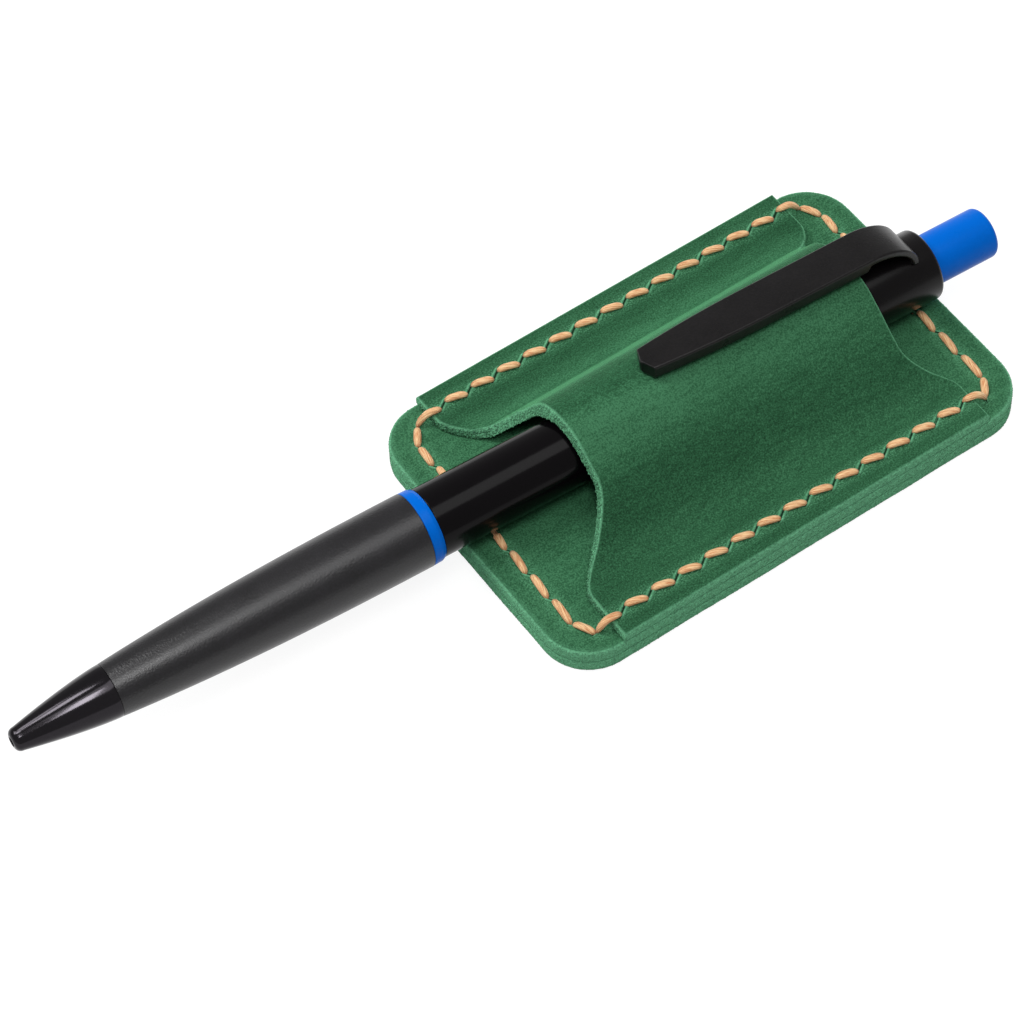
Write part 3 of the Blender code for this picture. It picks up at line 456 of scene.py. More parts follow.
def vector_maths(tree, operation, *values):
    """The result of a Vector Math node."""
    return add_node(tree, "ShaderNodeVectorMath", dict(enumerate(values)), operation=operation).outputs[0]


def weighted_sum(tree, *terms):
    """The sum of (value, weight) pairs."""
    total = 0.0
    for value, weight in terms:
        total = maths(tree, "MULTIPLY_ADD", value, weight, total)
    return total


def blend_colour(tree, factor, first, second):
    """The result of a colour Mix node."""
    inputs = {0: factor, 6: first, 7: second}
    return add_node(tree, "ShaderNodeMix", inputs, data_type="RGBA").outputs[2]


def shaded(colour, share=1.0):
    """An opaque colour, darkened to a share of itself."""
    return (*(part * share for part in colour), 1.0)


def object_place(tree, scale=(1, 1, 1)):
    """Object coordinates, stretched."""
    source = add_node(tree, "ShaderNodeTexCoord").outputs["Object"]
    return add_node(tree, "ShaderNodeMapping", {"Vector": source, "Scale": scale}).outputs[0]


def noise_value(tree, place, scale, detail, roughness, distortion=0.0):
    """The value of a Noise Texture."""
    inputs = {"Vector": place, "Scale": scale, "Detail": detail, "Roughness": roughness}
    inputs["Distortion"] = distortion
    return add_node(tree, "ShaderNodeTexNoise", inputs).outputs[0]


def stretch(tree, value, low, high, to_low=0.0, to_high=1.0):
    """A value mapped from one range to another."""
    inputs = {0: value, 1: low, 2: high, 3: to_low, 4: to_high}
    return add_node(tree, "ShaderNodeMapRange", inputs).outputs[0]


def attribute_value(tree, name):
    """A number stored on the mesh."""
    return add_node(tree, "ShaderNodeAttribute", attribute_name=name).outputs["Fac"]


def bump(tree, height, distance, strength):
    """A Bump node."""
    inputs = {"Height": height, "Distance": distance, "Strength": strength}
    return add_node(tree, "ShaderNodeBump", inputs).outputs[0]


def new_material(name):
    """A new material with a Principled shader, as (material, tree, shader)."""
    material = bpy.data.materials.new(name)
    material.use_nodes = True
    tree = material.node_tree
    return material, tree, tree.nodes["Principled BSDF"]


def nodes_tree(name, inputs):
    """An empty geometry tree with named inputs, as (tree, what it is given, where its geometry goes)."""
    tree = bpy.data.node_groups.new(name, "GeometryNodeTree")
    for way in ("OUTPUT", "INPUT"):
        tree.interface.new_socket("Geometry", in_out=way, socket_type="NodeSocketGeometry")
    for label, kind, default in inputs:
        socket = tree.interface.new_socket(label, in_out="INPUT", socket_type="NodeSocket" + kind)
        if default is not None:
            socket.default_value = default
    given = tree.nodes.new("NodeGroupInput").outputs
    return tree, given, tree.nodes.new("NodeGroupOutput").inputs["Geometry"]


def stored_value(tree, name, kind="FLOAT"):
    """A value stored on the points that a geometry tree is given."""
    node = add_node(tree, "GeometryNodeInputNamedAttribute", {"Name": name}, data_type=kind)
    return node.outputs["Attribute"]


def random_number(tree, low, high, seed):
    """A random number for each element of a geometry."""
    inputs = {2: low, 3: high, "Seed": seed}
    return add_node(tree, "FunctionNodeRandomValue", inputs, data_type="FLOAT").outputs[1]


def capture(tree, geometry, kind, value, domain="POINT"):
    """Captures a value on a geometry, as (geometry, captured value)."""
    node = add_node(tree, "GeometryNodeCaptureAttribute", domain=domain)
    node.capture_items.new(kind, "Value")
    feed(tree, node, {"Geometry": geometry, 1: value})
    return node.outputs["Geometry"], node.outputs[1]


def store_named(tree, geometry, name, value):
    """Stores a number under a name for the shader."""
    inputs = {"Geometry": geometry, "Name": name, "Value": value}
    return add_node(tree, "GeometryNodeStoreNamedAttribute", inputs, data_type="FLOAT").outputs["Geometry"]


def end_tree(tree, shape, given, made, **stored):
    """Ends a tree with real geometry, the numbers that the shader reads, and the material."""
    shape = add_node(tree, "GeometryNodeRealizeInstances", {0: shape}).outputs[0]
    for name, value in stored.items():
        shape = store_named(tree, shape, name, value)
    coated = {"Geometry": shape, "Material": given["Material"]}
    shape = add_node(tree, "GeometryNodeSetMaterial", coated).outputs[0]
    tree.links.new(shape, made)
    return tree


def grow_mesh(name, seed_mesh, tree, values):
    """Runs a geometry tree on a mesh and returns the result as a plain mesh."""
    source = bpy.data.objects.new(name + "_source", seed_mesh)
    bpy.context.scene.collection.objects.link(source)
    modifier = source.modifiers.new("grow", "NODES")
    modifier.node_group = tree
    sockets = [item for item in tree.interface.items_tree if item.item_type == "SOCKET"]
    identifiers = {item.name: item.identifier for item in sockets if item.in_out == "INPUT"}
    for label, value in values.items():
        modifier[identifiers[label]] = value
    bpy.context.view_layer.update()
    graph = bpy.context.evaluated_depsgraph_get()
    mesh = bpy.data.meshes.new_from_object(source.evaluated_get(graph))
    mesh.name = name
    source.modifiers.remove(modifier)
    bpy.data.objects.remove(source, do_unlink=True)
    if not mesh.vertices:
        raise RuntimeError(f"{name}: the geometry tree made nothing")
    return mesh


# Materials


def seam_wear(tree):
    """How near a place is to the seam, from 0 away from it to 1 on it."""
    place = add_node(tree, "ShaderNodeTexCoord").outputs["Object"]
    parts = add_node(tree, "ShaderNodeSeparateXYZ", {0: place}).outputs
    x = maths(tree, "ABSOLUTE", parts[0])
    y = maths(tree, "ABSOLUTE", parts[1])
    row_x, row_y, end_x, end_y = seam_lines()
    away = []
    for across, row, along, end in ((y, row_y, x, end_x), (x, row_x, y, end_y)):
        beside = maths(tree, "ABSOLUTE", maths(tree, "SUBTRACT", across, row))
        past = maths(tree, "MAXIMUM", maths(tree, "SUBTRACT", along, end), 0.0)
        away.append(maths(tree, "ADD", beside, past))
    return stretch(tree, maths(tree, "MINIMUM", *away), 0.0004, 0.0017, 1.0, 0.0)


def leather_material():
    """Dyed leather: grain, mottling and lengthwise streaks, with raw edges, flesh side and awl marks, and
    painted light and shade read from the mesh: paler and darker places on the sleeve, flat panels painted
    paler, awl slits and edge tufts painted dark.
    """
    found = bpy.data.materials.get("dyed_leather")
    if found:
        return found
    material, tree, shader = new_material("dyed_leather")
    skin = case()
    place = object_place(tree)
    along = object_place(tree, (0.22, 1.0, 1.0))
    grain = noise_value(tree, place, 4800, detail=3, roughness=0.7)
    pores = noise_value(tree, place, 2700, detail=2, roughness=0.5, distortion=0.3)
    streaks = noise_value(tree, along, 1300, detail=3, roughness=0.6)
    mottle = noise_value(tree, place, 55, detail=2, roughness=0.5)
    wear = seam_wear(tree)
    cut = attribute_value(tree, "cut_edge")
    flesh = attribute_value(tree, "flesh_side")

    fine = stretch(tree, grain, 0.36, 0.64)
    tone = weighted_sum(
        tree,
        (fine, 0.60),
        (stretch(tree, pores, 0.3, 0.7), 0.12),
        (stretch(tree, streaks, 0.3, 0.7), 0.16),
        (stretch(tree, mottle, 0.3, 0.7), 0.10),
        (wear, 0.14),
        # Painted light and shade stored on the sleeve and the flat panels
        (attribute_value(tree, "pale"), 0.20),
    )
    ramp = add_node(tree, "ShaderNodeValToRGB", {0: tone})
    stops = ramp.color_ramp.elements
    stops.new(0.52)
    for stop, position, dye in zip(stops, (0.12, 0.52, 0.92), (skin.dye_dark, skin.dye, skin.dye_light)):
        stop.position = position
        stop.color = shaded(dye)

    fibre = stretch(tree, noise_value(tree, place, 4200, detail=2, roughness=0.7), 0.3, 0.7)
    raw = blend_colour(tree, fibre, shaded(skin.cut, 0.40), shaded(skin.cut))
    # Tufts darkened at random: partly a random tone, partly painted shade between the tufts
    painted_tuft_shade = stretch(tree, attribute_value(tree, "shade"), 0.1, 0.9, 0.0, 0.80)
    raw = blend_colour(tree, painted_tuft_shade, raw, shaded(skin.cut, 0.28))
    back = blend_colour(tree, fibre, shaded(skin.flesh, 0.6), shaded(skin.flesh))
    colour = blend_colour(tree, flesh, ramp.outputs[0], back)
    speckle = stretch(tree, noise_value(tree, place, 5200, detail=1, roughness=0.5), 0.52, 0.62)
    worn = maths(tree, "MULTIPLY", maths(tree, "MULTIPLY", wear, speckle), 0.32)
    lip = maths(tree, "MULTIPLY", attribute_value(tree, "lip"), stretch(tree, fibre, 0.0, 1.0, 0.35, 0.95))
    colour = blend_colour(tree, maths(tree, "MAXIMUM", lip, worn), colour, shaded(skin.cut))
    colour = blend_colour(tree, cut, colour, raw)
    # The awl slit painted nearly black: painted shade in place of the hole's dark depth
    colour = blend_colour(tree, attribute_value(tree, "pit"), colour, shaded(skin.dye_dark, 0.10))

    rough_part = maths(tree, "MAXIMUM", cut, flesh)
    rough_fibre = maths(tree, "MULTIPLY", rough_part, fibre)
    height = weighted_sum(tree, (pores, 0.7), (grain, 0.5), (rough_fibre, 1.3))
    looks = {
        "Base Color": colour,
        "Roughness": stretch(tree, maths(tree, "ADD", fine, rough_part), 0.0, 2.0, 0.52, 0.85),
        "Normal": bump(tree, height, 0.00014, 0.75),
        "Specular IOR Level": 0.05,
        "Sheen Weight": 0.50,
        "Sheen Roughness": 0.30,
        "Sheen Tint": (0.30, 1.0, 0.48, 1.0),
    }
    feed(tree, shader, looks)
    return material


def thread_material():
    """Waxed thread: fibres that run along it, painted darker between the plies, down its sides and at its
    ends, and lighter on top, as painted shade and painted light.
    """
    found = bpy.data.materials.get("thread_fibres")
    if found:
        return found
    material, tree, shader = new_material("thread_fibres")
    thread = seam()
    run = attribute_value(tree, "along")
    around = attribute_value(tree, "around")
    which = attribute_value(tree, "stitch")
    place = add_node(tree, "ShaderNodeCombineXYZ", {0: run, 1: around, 2: which}).outputs[0]
    drawn_out = add_node(tree, "ShaderNodeMapping", {"Vector": place, "Scale": (2.6, 22.0, 7.3)}).outputs[0]
    fibres = noise_value(tree, drawn_out, 1.0, detail=4, roughness=0.65, distortion=0.3)
    fuzz = noise_value(tree, object_place(tree), 5200, detail=2, roughness=0.6)
    # Painted light and shade: lighter on the thread's top, darker down its sides and between its plies
    crown = stretch(tree, attribute_value(tree, "crown"), -0.1, 0.75, -0.10, 0.06)
    strands = stretch(tree, fibres, 0.39, 0.61, 0.0, 0.80)
    tone = weighted_sum(tree, (strands, 1.0), (attribute_value(tree, "ply"), 0.24), (crown, 1.0))
    colour = blend_colour(tree, tone, shaded(thread.dark), shaded(thread.light))
    # Painted shade: each stitch darker towards its ends, where it dips into its hole
    from_middle = maths(tree, "ABSOLUTE", maths(tree, "SUBTRACT", run, 0.5))
    end = stretch(tree, from_middle, 0.34, 0.5, 0.0, 0.62)
    colour = blend_colour(tree, end, colour, shaded(thread.dark, 0.40))
    looks = {
        "Base Color": colour,
        "Roughness": stretch(tree, fibres, 0.3, 0.7, 0.5, 0.68),
        "Normal": bump(tree, weighted_sum(tree, (fibres, 1.0), (fuzz, 0.25)), 0.00013, 0.8),
        "Specular IOR Level": 0.35,
        "Sheen Weight": 0.18,
    }
    feed(tree, shader, looks)
    return material


def smooth_material(name, colour, roughness, uneven, grain_scale, grain, shine=0.5, metallic=0.0, face=1.0):
    """Moulded, coated or plated surface with a fine texture and slight unevenness of colour."""
    found = bpy.data.materials.get(name)
    if found:
        return found
    material, tree, shader = new_material(name)
    place = object_place(tree)
    fine = noise_value(tree, place, grain_scale, detail=2, roughness=0.6)
    wide = noise_value(tree, place, 260, detail=3, roughness=0.5)
    light = [min(1.0, part * (1 + uneven) + 0.001 * uneven) for part in colour]
    spread = stretch(tree, weighted_sum(tree, (fine, 0.7), (wide, 0.3)), 0.35, 0.65)
    looks = {
        "Base Color": blend_colour(tree, spread, shaded(colour, 1 - uneven), shaded(light)),
        "Metallic": metallic,
        "Roughness": stretch(tree, wide, 0.3, 0.7, roughness * 0.9, roughness * 1.1),
        "Normal": bump(tree, fine, 0.00003, grain),
        "Specular IOR Level": shine,
        "Specular Tint": (face, face, face, 1.0),
    }
    feed(tree, shader, looks)
    return material


def grip_material():
    """Soft-touch coating."""
    return smooth_material(
        "grip_coating", pen().grip_colour, roughness=0.32, uneven=0.60, grain_scale=3800, grain=1.0
    )


def barrel_material():
    """Gloss black plastic."""
    return smooth_material(
        "barrel_gloss",
        pen().barrel_colour,
        roughness=0.15,
        uneven=0.10,
        grain_scale=2600,
        grain=0.05,
        shine=0.13,
        face=0.80,
    )


def cap_material():
    """The cap's black plastic."""
    return smooth_material(
        "cap_gloss", pen().clip_colour, roughness=0.24, uneven=0.10, grain_scale=3200, grain=0.10, face=0.22
    )


def clip_material():
    """The clip's satin plastic."""
    return smooth_material(
        "clip_satin", pen().clip_colour, roughness=0.30, uneven=0.50, grain_scale=3800, grain=0.6, face=0.46
    )


def accent_material():
    """Blue plastic."""
    return smooth_material(
        "blue_plastic", pen().accent, roughness=0.30, uneven=0.03, grain_scale=3200, grain=0.05, shine=0.06
    )


def nose_material():
    """Polished dark plating."""
    colour = pen().nose_colour
    return smooth_material(
        "nose_plating", colour, roughness=0.13, uneven=0.06, grain_scale=3600, grain=0.05, metallic=1.0
    )


def acetal_material():
    """White acetal of the click mechanism."""
    white = srgb(228, 228, 222)[:3]
    return smooth_material(
        "acetal_moulding", white, roughness=0.42, uneven=0.03, grain_scale=2600, grain=0.06
    )


def brass_material():
    """Turned brass."""
    yellow = srgb(205, 172, 106)[:3]
    return smooth_material(
        "turned_brass", yellow, roughness=0.26, uneven=0.06, grain_scale=4000, grain=0.10, metallic=1.0
    )


def steel_material():
    """Bright steel."""
    grey = srgb(196, 196, 200)[:3]
    return smooth_material(
        "bright_steel", grey, roughness=0.22, uneven=0.04, grain_scale=4000, grain=0.08, metallic=1.0
    )


# Flat panels


# Insets from a cut edge, and how far the softened face lies under its full height at each
SOFT_EDGE = ((0.00001, 0.00026), (0.00008, 0.00011), (0.0002, 0.00003), (0.00034, 0.0))
FACE_INSET = 0.0009
EDGE_BULGE = 0.00003
# Insets within which the raw cut shows, and how much it shows there
PANEL_RAW = ((0.0001, 1.0), (0.00025, 0.75), (0.0004, 0.15))
SLEEVE_RAW = ((0.00005, 1.0), (0.0001, 0.8), (0.0003, 0.3))


def rawness(inset, limits):
    """How much of the raw cut shows at an inset from it."""
    return next((value for limit, value in limits if inset < limit), 0.0)


PANEL_POINTS = 640
LEAST_STEPS = 8
# The hand-cut outline: waves and ripples per metre, and how far each moves it
WAVES, WAVE_DEPTH = 160, 0.00006
RIPPLES, RIPPLE_DEPTH = 900, 0.00002


def panel_loop(inset, seed):
    """Points round a flat panel at an inset from its hand-cut edge, anticlockwise from the near side."""
    skin = case()
    radius = skin.corner
    half_x = skin.length / 2 - radius
    half_y = skin.width / 2 - radius
    corners = [(half_x, -half_y, -90), (half_x, half_y, 0), (-half_x, half_y, 90), (-half_x, -half_y, 180)]
    spacing = (4 * (half_x + half_y) + math.tau * radius) / PANEL_POINTS
    points = []
    for index, (x, y, start) in enumerate(corners):
        steps = max(LEAST_STEPS, round(math.pi * radius / 2 / spacing))
        for step in range(steps):
            angle = math.radians(start + 90 * step / steps)
            points.append((x, y, math.cos(angle), math.sin(angle)))
        next_x, next_y, _ = corners[(index + 1) % 4]
        angle = math.radians(start + 90)
        steps = max(LEAST_STEPS, round(math.hypot(next_x - x, next_y - y) / spacing))
        for step in range(steps):
            share = step / steps
            place = (x + (next_x - x) * share, y + (next_y - y) * share)
            points.append((*place, math.cos(angle), math.sin(angle)))
    loop = []
    for x, y, out_x, out_y in points:
        wander = waver(x * WAVES + seed, y * WAVES, out_x + out_y) * WAVE_DEPTH
        wander += waver(x * RIPPLES, y * RIPPLES + seed, out_x - out_y) * RIPPLE_DEPTH
        reach = radius - inset + wander
        loop.append((x + out_x * reach, y + out_y * reach))
    return loop


def build_panel(name, node, low, high, seed, top_soft, low_soft, groove=False, dented=False):
    """A flat panel with cut edges softened by a share.

    The back one has its stitches in a groove, and the base one is dented under the pen.
    """
    inside = case().corner * 0.92
    top = [0.0052 - 0.0002 * step for step in range(17)] if dented else [0.0040, 0.0020]
    bottom = [FACE_INSET + 0.00022 * step for step in range(20)] if groove else [FACE_INSET, 0.0020, 0.0040]
    rings = [(inset, high) for inset in (inside, *top, FACE_INSET)]
    rings += [(inset * top_soft, high - drop * top_soft) for inset, drop in reversed(SOFT_EDGE)]
    rings += [(-EDGE_BULGE, low + (high - low) * share) for share in (0.72, 0.5, 0.28)]
    rings += [(inset * low_soft, low + drop * low_soft) for inset, drop in SOFT_EDGE]
    rings += [(inset, low) for inset in (*bottom, inside)]
    loops = [panel_loop(inset, seed) for inset, _ in rings]
    count = len(loops[0])
    points = []
    edge = []
    for (inset, height), loop in zip(rings, loops):
        for x, y in loop:
            z = height
            if groove and height == low:
                z += groove_depth(x, y)
            elif dented and height == high:
                z -= dent_depth(x, y)
            elif low + 0.0001 < height < high - 0.0001:
                fibres = waver(x * 2200, y * 2200, z * 5200 + seed) * EDGE_BULGE
                x += fibres
                y += fibres
            points.append((x, y, z))
            edge.append(rawness(inset, PANEL_RAW))
    faces = grid_faces(len(rings), count, closed_columns=True)
    faces.append(tuple(range(count)))
    faces.append(tuple(reversed(range(len(points) - count, len(points)))))
    # The flat panels are painted paler all over: painted fill light in place of more light from the front
    mesh = mesh_of(name, points, faces, cut_edge=edge, pale=[1.0] * len(points))
    band = []
    for index, (inset, height) in enumerate(rings):
        if inset < 0.00015 and low < height < high:
            band.append(points[index * count : (index + 1) * count])
    build_nap(name + "_nap", band, case().nap, 0.00006, 11)
    return finish_mesh(name, mesh, leather_material(), "case", [node], 60)


DENT_DEPTH = 0.00068
# Where the dents start to fade, from the row of stitches and from the pen's axis, and over what length
BESIDE_ROW, BESIDE_FADE = 0.0003, 0.0007
BESIDE_PEN, PEN_FADE = 0.0026, 0.0012


def dent_depth(x, y):
    """Depth of the dents in the base panel that the stitches under the pen lie in."""
    row_x = seam_lines()[0]
    off_row = smoothstep((abs(abs(x) - row_x) - BESIDE_ROW) / BESIDE_FADE)
    off_pen = smoothstep((abs(y - pen_y(x)) - BESIDE_PEN) / PEN_FADE)
    return DENT_DEPTH * (1 - off_row) * (1 - off_pen)


GROOVE_DEPTH = 0.00098
GROOVE_HALF_WIDTH = 0.00118


def groove_depth(x, y):
    """Depth of the groove that the back stitches lie in."""
    row_x, row_y, end_x, end_y = seam_lines()
    x, y = abs(x), abs(y)
    side = abs(y - row_y) if x < end_x else 1.0
    end = abs(x - row_x) if y < end_y else 1.0
    start = Vector((end_x, row_y))
    across_corner = Vector((row_x, end_y)) - start
    share = max(0.0, min(1.0, (Vector((x, y)) - start).dot(across_corner) / across_corner.length_squared))
    corner = (Vector((x, y)) - start - across_corner * share).length
    away = min(side, end, corner) / GROOVE_HALF_WIDTH
    return GROOVE_DEPTH * math.sqrt(1 - away * away) if away < 1 else 0.0


def nap_tree():
    """Geometry nodes that set tufts of fibres all over a raw edge, each of its own size, with a random
    darkening stored as shade: partly random tone, partly painted shade between the tufts.
    """
    inputs = [
        ("Density", "Float", 2e7),
        ("Tuft", "Float", 0.00011),
        ("Shade", "Float", 0.0),
        ("Seed", "Int", 11),
        ("Material", "Material", None),
    ]
    tree, given, made = nodes_tree("raw_edge_nap", inputs)
    surface = {"Mesh": given["Geometry"], "Density": given["Density"], "Seed": given["Seed"]}
    sown = add_node(tree, "GeometryNodeDistributePointsOnFaces", surface).outputs
    tuft = {"Radius": given["Tuft"], "Subdivisions": 1}
    ball = add_node(tree, "GeometryNodeMeshIcoSphere", tuft).outputs["Mesh"]
    sizes = {0: (0.6, 0.6, 0.4), 1: (1.4, 1.4, 1.2), "Seed": given["Seed"]}
    size = add_node(tree, "FunctionNodeRandomValue", sizes, data_type="FLOAT_VECTOR").outputs[0]
    chance = random_number(tree, given["Shade"], 1.0, given["Seed"])
    spots = store_named(tree, sown["Points"], "shade", chance)
    placed = {"Points": spots, "Instance": ball, "Rotation": sown["Rotation"], "Scale": size}
    shape = add_node(tree, "GeometryNodeInstanceOnPoints", placed).outputs[0]
    return end_tree(tree, shape, given, made, cut_edge=1.0)


def build_nap(name, loops, density, tuft, seed, shade=0.0, closed=True):
    """Tufts of fibres on the band between loops of points."""
    points = [place for loop in loops for place in loop]
    band = bpy.data.meshes.new(name + "_band")
    band.from_pydata(points, [], grid_faces(len(loops), len(loops[0]), closed_columns=closed))
    values = {"Density": density, "Tuft": tuft, "Shade": shade, "Seed": seed, "Material": leather_material()}
    mesh = grow_mesh(name, band, nap_tree(), values)
    return finish_mesh(name, mesh, leather_material(), "case", [], 80)


class PENCASE_OT_panels(bpy.types.Operator):
    """Build the two flat leather panels"""

    bl_idname = "pencase.panels"
    bl_label = "Flat panels"

    def execute(self, context):
        skin = case()
        base_low = skin.back + skin.glue
        build_panel("back_leather", "back_panel", 0.0, skin.back, 3.1, 0.3, 1.0, groove=True)
        build_panel("base_leather", "base_panel", base_low, base_top(), 8.7, 1.0, 0.3, dented=True)
        return {"FINISHED"}


# Sleeve


def slope_run(slope):
    """Distance from the arch's centre to the foot of a straight slope that touches the arch."""
    touch = pen_height() + arch_radius() * math.cos(slope)
    return arch_radius() * math.sin(slope) + (touch - flange_bottom()) / math.tan(slope)


def near_foot(x):
    """Foot of the gentle slope."""
    return pen_y(x) - slope_run(sleeve().near_slope)


def far_centre():
    """Centre of the far part of the arch, which runs parallel to the case."""
    return pen_y(-sleeve().flange_end)


def far_foot():
    """Foot of the steep slope."""
    return far_centre() + slope_run(sleeve().far_slope)


def straight(start, end, steps):
    """Points of a line, without its end, each with its normal."""
    start, end = Vector(start), Vector(end)
    along = (end - start).normalized()
    normal = Vector((-along.y, along.x))
    return [(start.lerp(end, step / steps), normal) for step in range(steps)]


def bend(centre, radius, first, last, steps, inner=False):
    """Points of an arc, by its angles from straight up towards +Y, with its normal."""
    points = []
    for step in range(steps):
        angle = first + (last - first) * step / steps
        out = Vector((math.sin(angle), math.cos(angle)))
        points.append((Vector(centre) + out * radius, -out if inner else out))
    return points


EDGE_INSETS = (0.0, *(inset for inset, _ in SOFT_EDGE), 0.0008)
FLANGE_INSET = 0.0012


def sleeve_section(x):
    """Inner face of the sleeve across the case, as (point, normal) pairs of y and z."""
    shape = sleeve()
    bottom = flange_bottom()
    half = case().width / 2
    near, far = shape.near_slope, shape.far_slope
    axis_z = pen_height()
    radius = arch_radius()
    near_start = near_foot(x) - shape.near_fillet * math.tan(near / 2)
    far_end = far_foot() + shape.far_fillet * math.tan(far / 2)
    section = [(Vector((-half + inset, bottom)), Vector((0.0, 1.0))) for inset in EDGE_INSETS]
    section += straight((-half + FLANGE_INSET, bottom), (near_start, bottom), 14)
    centre = (near_start, bottom + shape.near_fillet)
    section += bend(centre, shape.near_fillet, math.pi, math.pi - near, 14, inner=True)
    foot_y = near_start + shape.near_fillet * math.sin(near)
    foot = (foot_y, bottom + shape.near_fillet * (1 - math.cos(near)))
    touch = (pen_y(x) - radius * math.sin(near), axis_z + radius * math.cos(near))
    section += straight(foot, touch, 16)
    section += bend((pen_y(x), axis_z), radius, -near, 0.0, 12)
    section += straight((pen_y(x), axis_z + radius), (far_centre(), axis_z + radius), 4)
    section += bend((far_centre(), axis_z), radius, 0.0, far, 14)
    touch = (far_centre() + radius * math.sin(far), axis_z + radius * math.cos(far))
    foot = (far_end - shape.far_fillet * math.sin(far), bottom + shape.far_fillet * (1 - math.cos(far)))
    section += straight(touch, foot, 12)
    centre = (far_end, bottom + shape.far_fillet)
    section += bend(centre, shape.far_fillet, math.pi + far, math.pi, 10, inner=True)
    section += straight((far_end, bottom), (half - FLANGE_INSET, bottom), 14)
    section += [(Vector((half - inset, bottom)), Vector((0.0, 1.0))) for inset in reversed(EDGE_INSETS)]
    return section


def mouth_x(side, y):
    """Where the sleeve ends at a place across the case: side is -1 at the front and +1 at the rear."""
    shape = sleeve()
    depth = shape.front_depth if side < 0 else shape.rear_depth
    ramp = shape.front_ramp if side < 0 else shape.rear_ramp
    near = near_foot(side * shape.flange_end) + shape.near_inset
    rise = smoothstep((y - near + ramp / 2) / ramp) * smoothstep((far_foot() + ramp / 2 - y) / ramp)
    return side * (shape.flange_end - depth * rise)


def mouth_place(side, column):
    """The end of one line of the sleeve's grid, found on its own section."""
    x = side * sleeve().flange_end
    for _ in range(8):
        x = mouth_x(side, sleeve_section(x)[column][0].x)
    return x


# Share of the lean over the crown, and its changes: how much, from where across the case, over what length
CROWN_LEAN = 0.40
LEAN_CHANGES = ((0.50, 0.0, 0.003), (-0.38, 0.003, 0.004), (-0.30, 0.0, -0.009))


def front_lean(x, column):
    """How far the flesh side stands out beyond the grain side at the front mouth."""
    shape = sleeve()
    cut_back = (shape.flange_end - abs(x)) / shape.front_depth
    across = sleeve_section(x)[column][0].x - far_centre()
    share = CROWN_LEAN
    for change, start, run in LEAN_CHANGES:
        share += change * smoothstep((across - start) / run)
    return shape.lean * share * smoothstep(cut_back * 1.6)


# Painted light and shade down the gentle slope: how much paler than its dye the leather is painted (darker
# below zero), by the way down the gentle slope from the arch
PAINTED_SLOPE_SHADING = (
    (-0.0055, 0.0),
    (-0.0040, 0.7),
    (-0.0022, 1.45),
    (0.0010, 1.35),
    (0.0020, 1.0),
    (0.0040, 0.42),
    (0.0050, 0.0),
    (0.0070, -0.45),
    (0.0090, -0.5),
    (0.0110, -0.3),
    (0.0125, 0.0),
)


# The same in the fold at the steep slope: a painted highlight at the fold and painted shade just beyond it,
# by the way across the case from the foot of the steep slope
PAINTED_FOLD_SHADING = (
    (-0.0042, 0.0),
    (-0.0012, 0.45),
    (0.0, 0.6),
    (0.0008, 0.95),
    (0.0016, 1.1),
    (0.0024, 0.55),
    (0.0031, 0.12),
    (0.0037, -0.1),
    (0.0044, -0.5),
    (0.0052, -0.4),
    (0.0064, -0.1),
    (0.0074, 0.0),
)


def painted_sleeve_shading(x, y):
    """Painted light and shade on the sleeve: how much paler than its dye it is painted, down the gentle slope
    and in the fold at the steep one, darker where below zero.
    """
    touch = pen_y(x) - arch_radius() * math.sin(sleeve().near_slope)
    down = (touch - y) / math.cos(sleeve().near_slope)
    return from_table(down, PAINTED_SLOPE_SHADING) * (0.95 - 10 * x) + from_table(y - far_foot(), PAINTED_FOLD_SHADING)


MOUTH_INSET = 0.0014
SLEEVE_STEPS = 96
RIM_SHARES = (0.3, 0.5, 0.7)
UNDER_SOFTNESS = 0.3


def sleeve_rows(front, rear):
    """The x of every row of the sleeve's grid along one line, close together at both mouths."""
    insets = (*EDGE_INSETS, MOUTH_INSET)
    between = rear - front - 2 * MOUTH_INSET
    middle = [front + MOUTH_INSET + between * (step / SLEEVE_STEPS) for step in range(1, SLEEVE_STEPS)]
    return [front + inset for inset in insets] + middle + [rear - inset for inset in reversed(insets)]


def leather_wave(x, y):
    """Height of the sleeve's soft unevenness, with creases down the gentle slope."""
    wave = waver(x * 90, y * 130, 4.0) * 0.00005 + waver(x * 420, y * 420, 9.0) * 0.000012
    slope = smoothstep((pen_y(x) - 0.003 - y) / 0.002)
    slope *= smoothstep((y + case().width / 2 - 0.006) / 0.004)
    return wave + slope * waver((x * 0.45 + y) * 420, (y * 0.45 - x) * 70, 2.0) * 0.00007


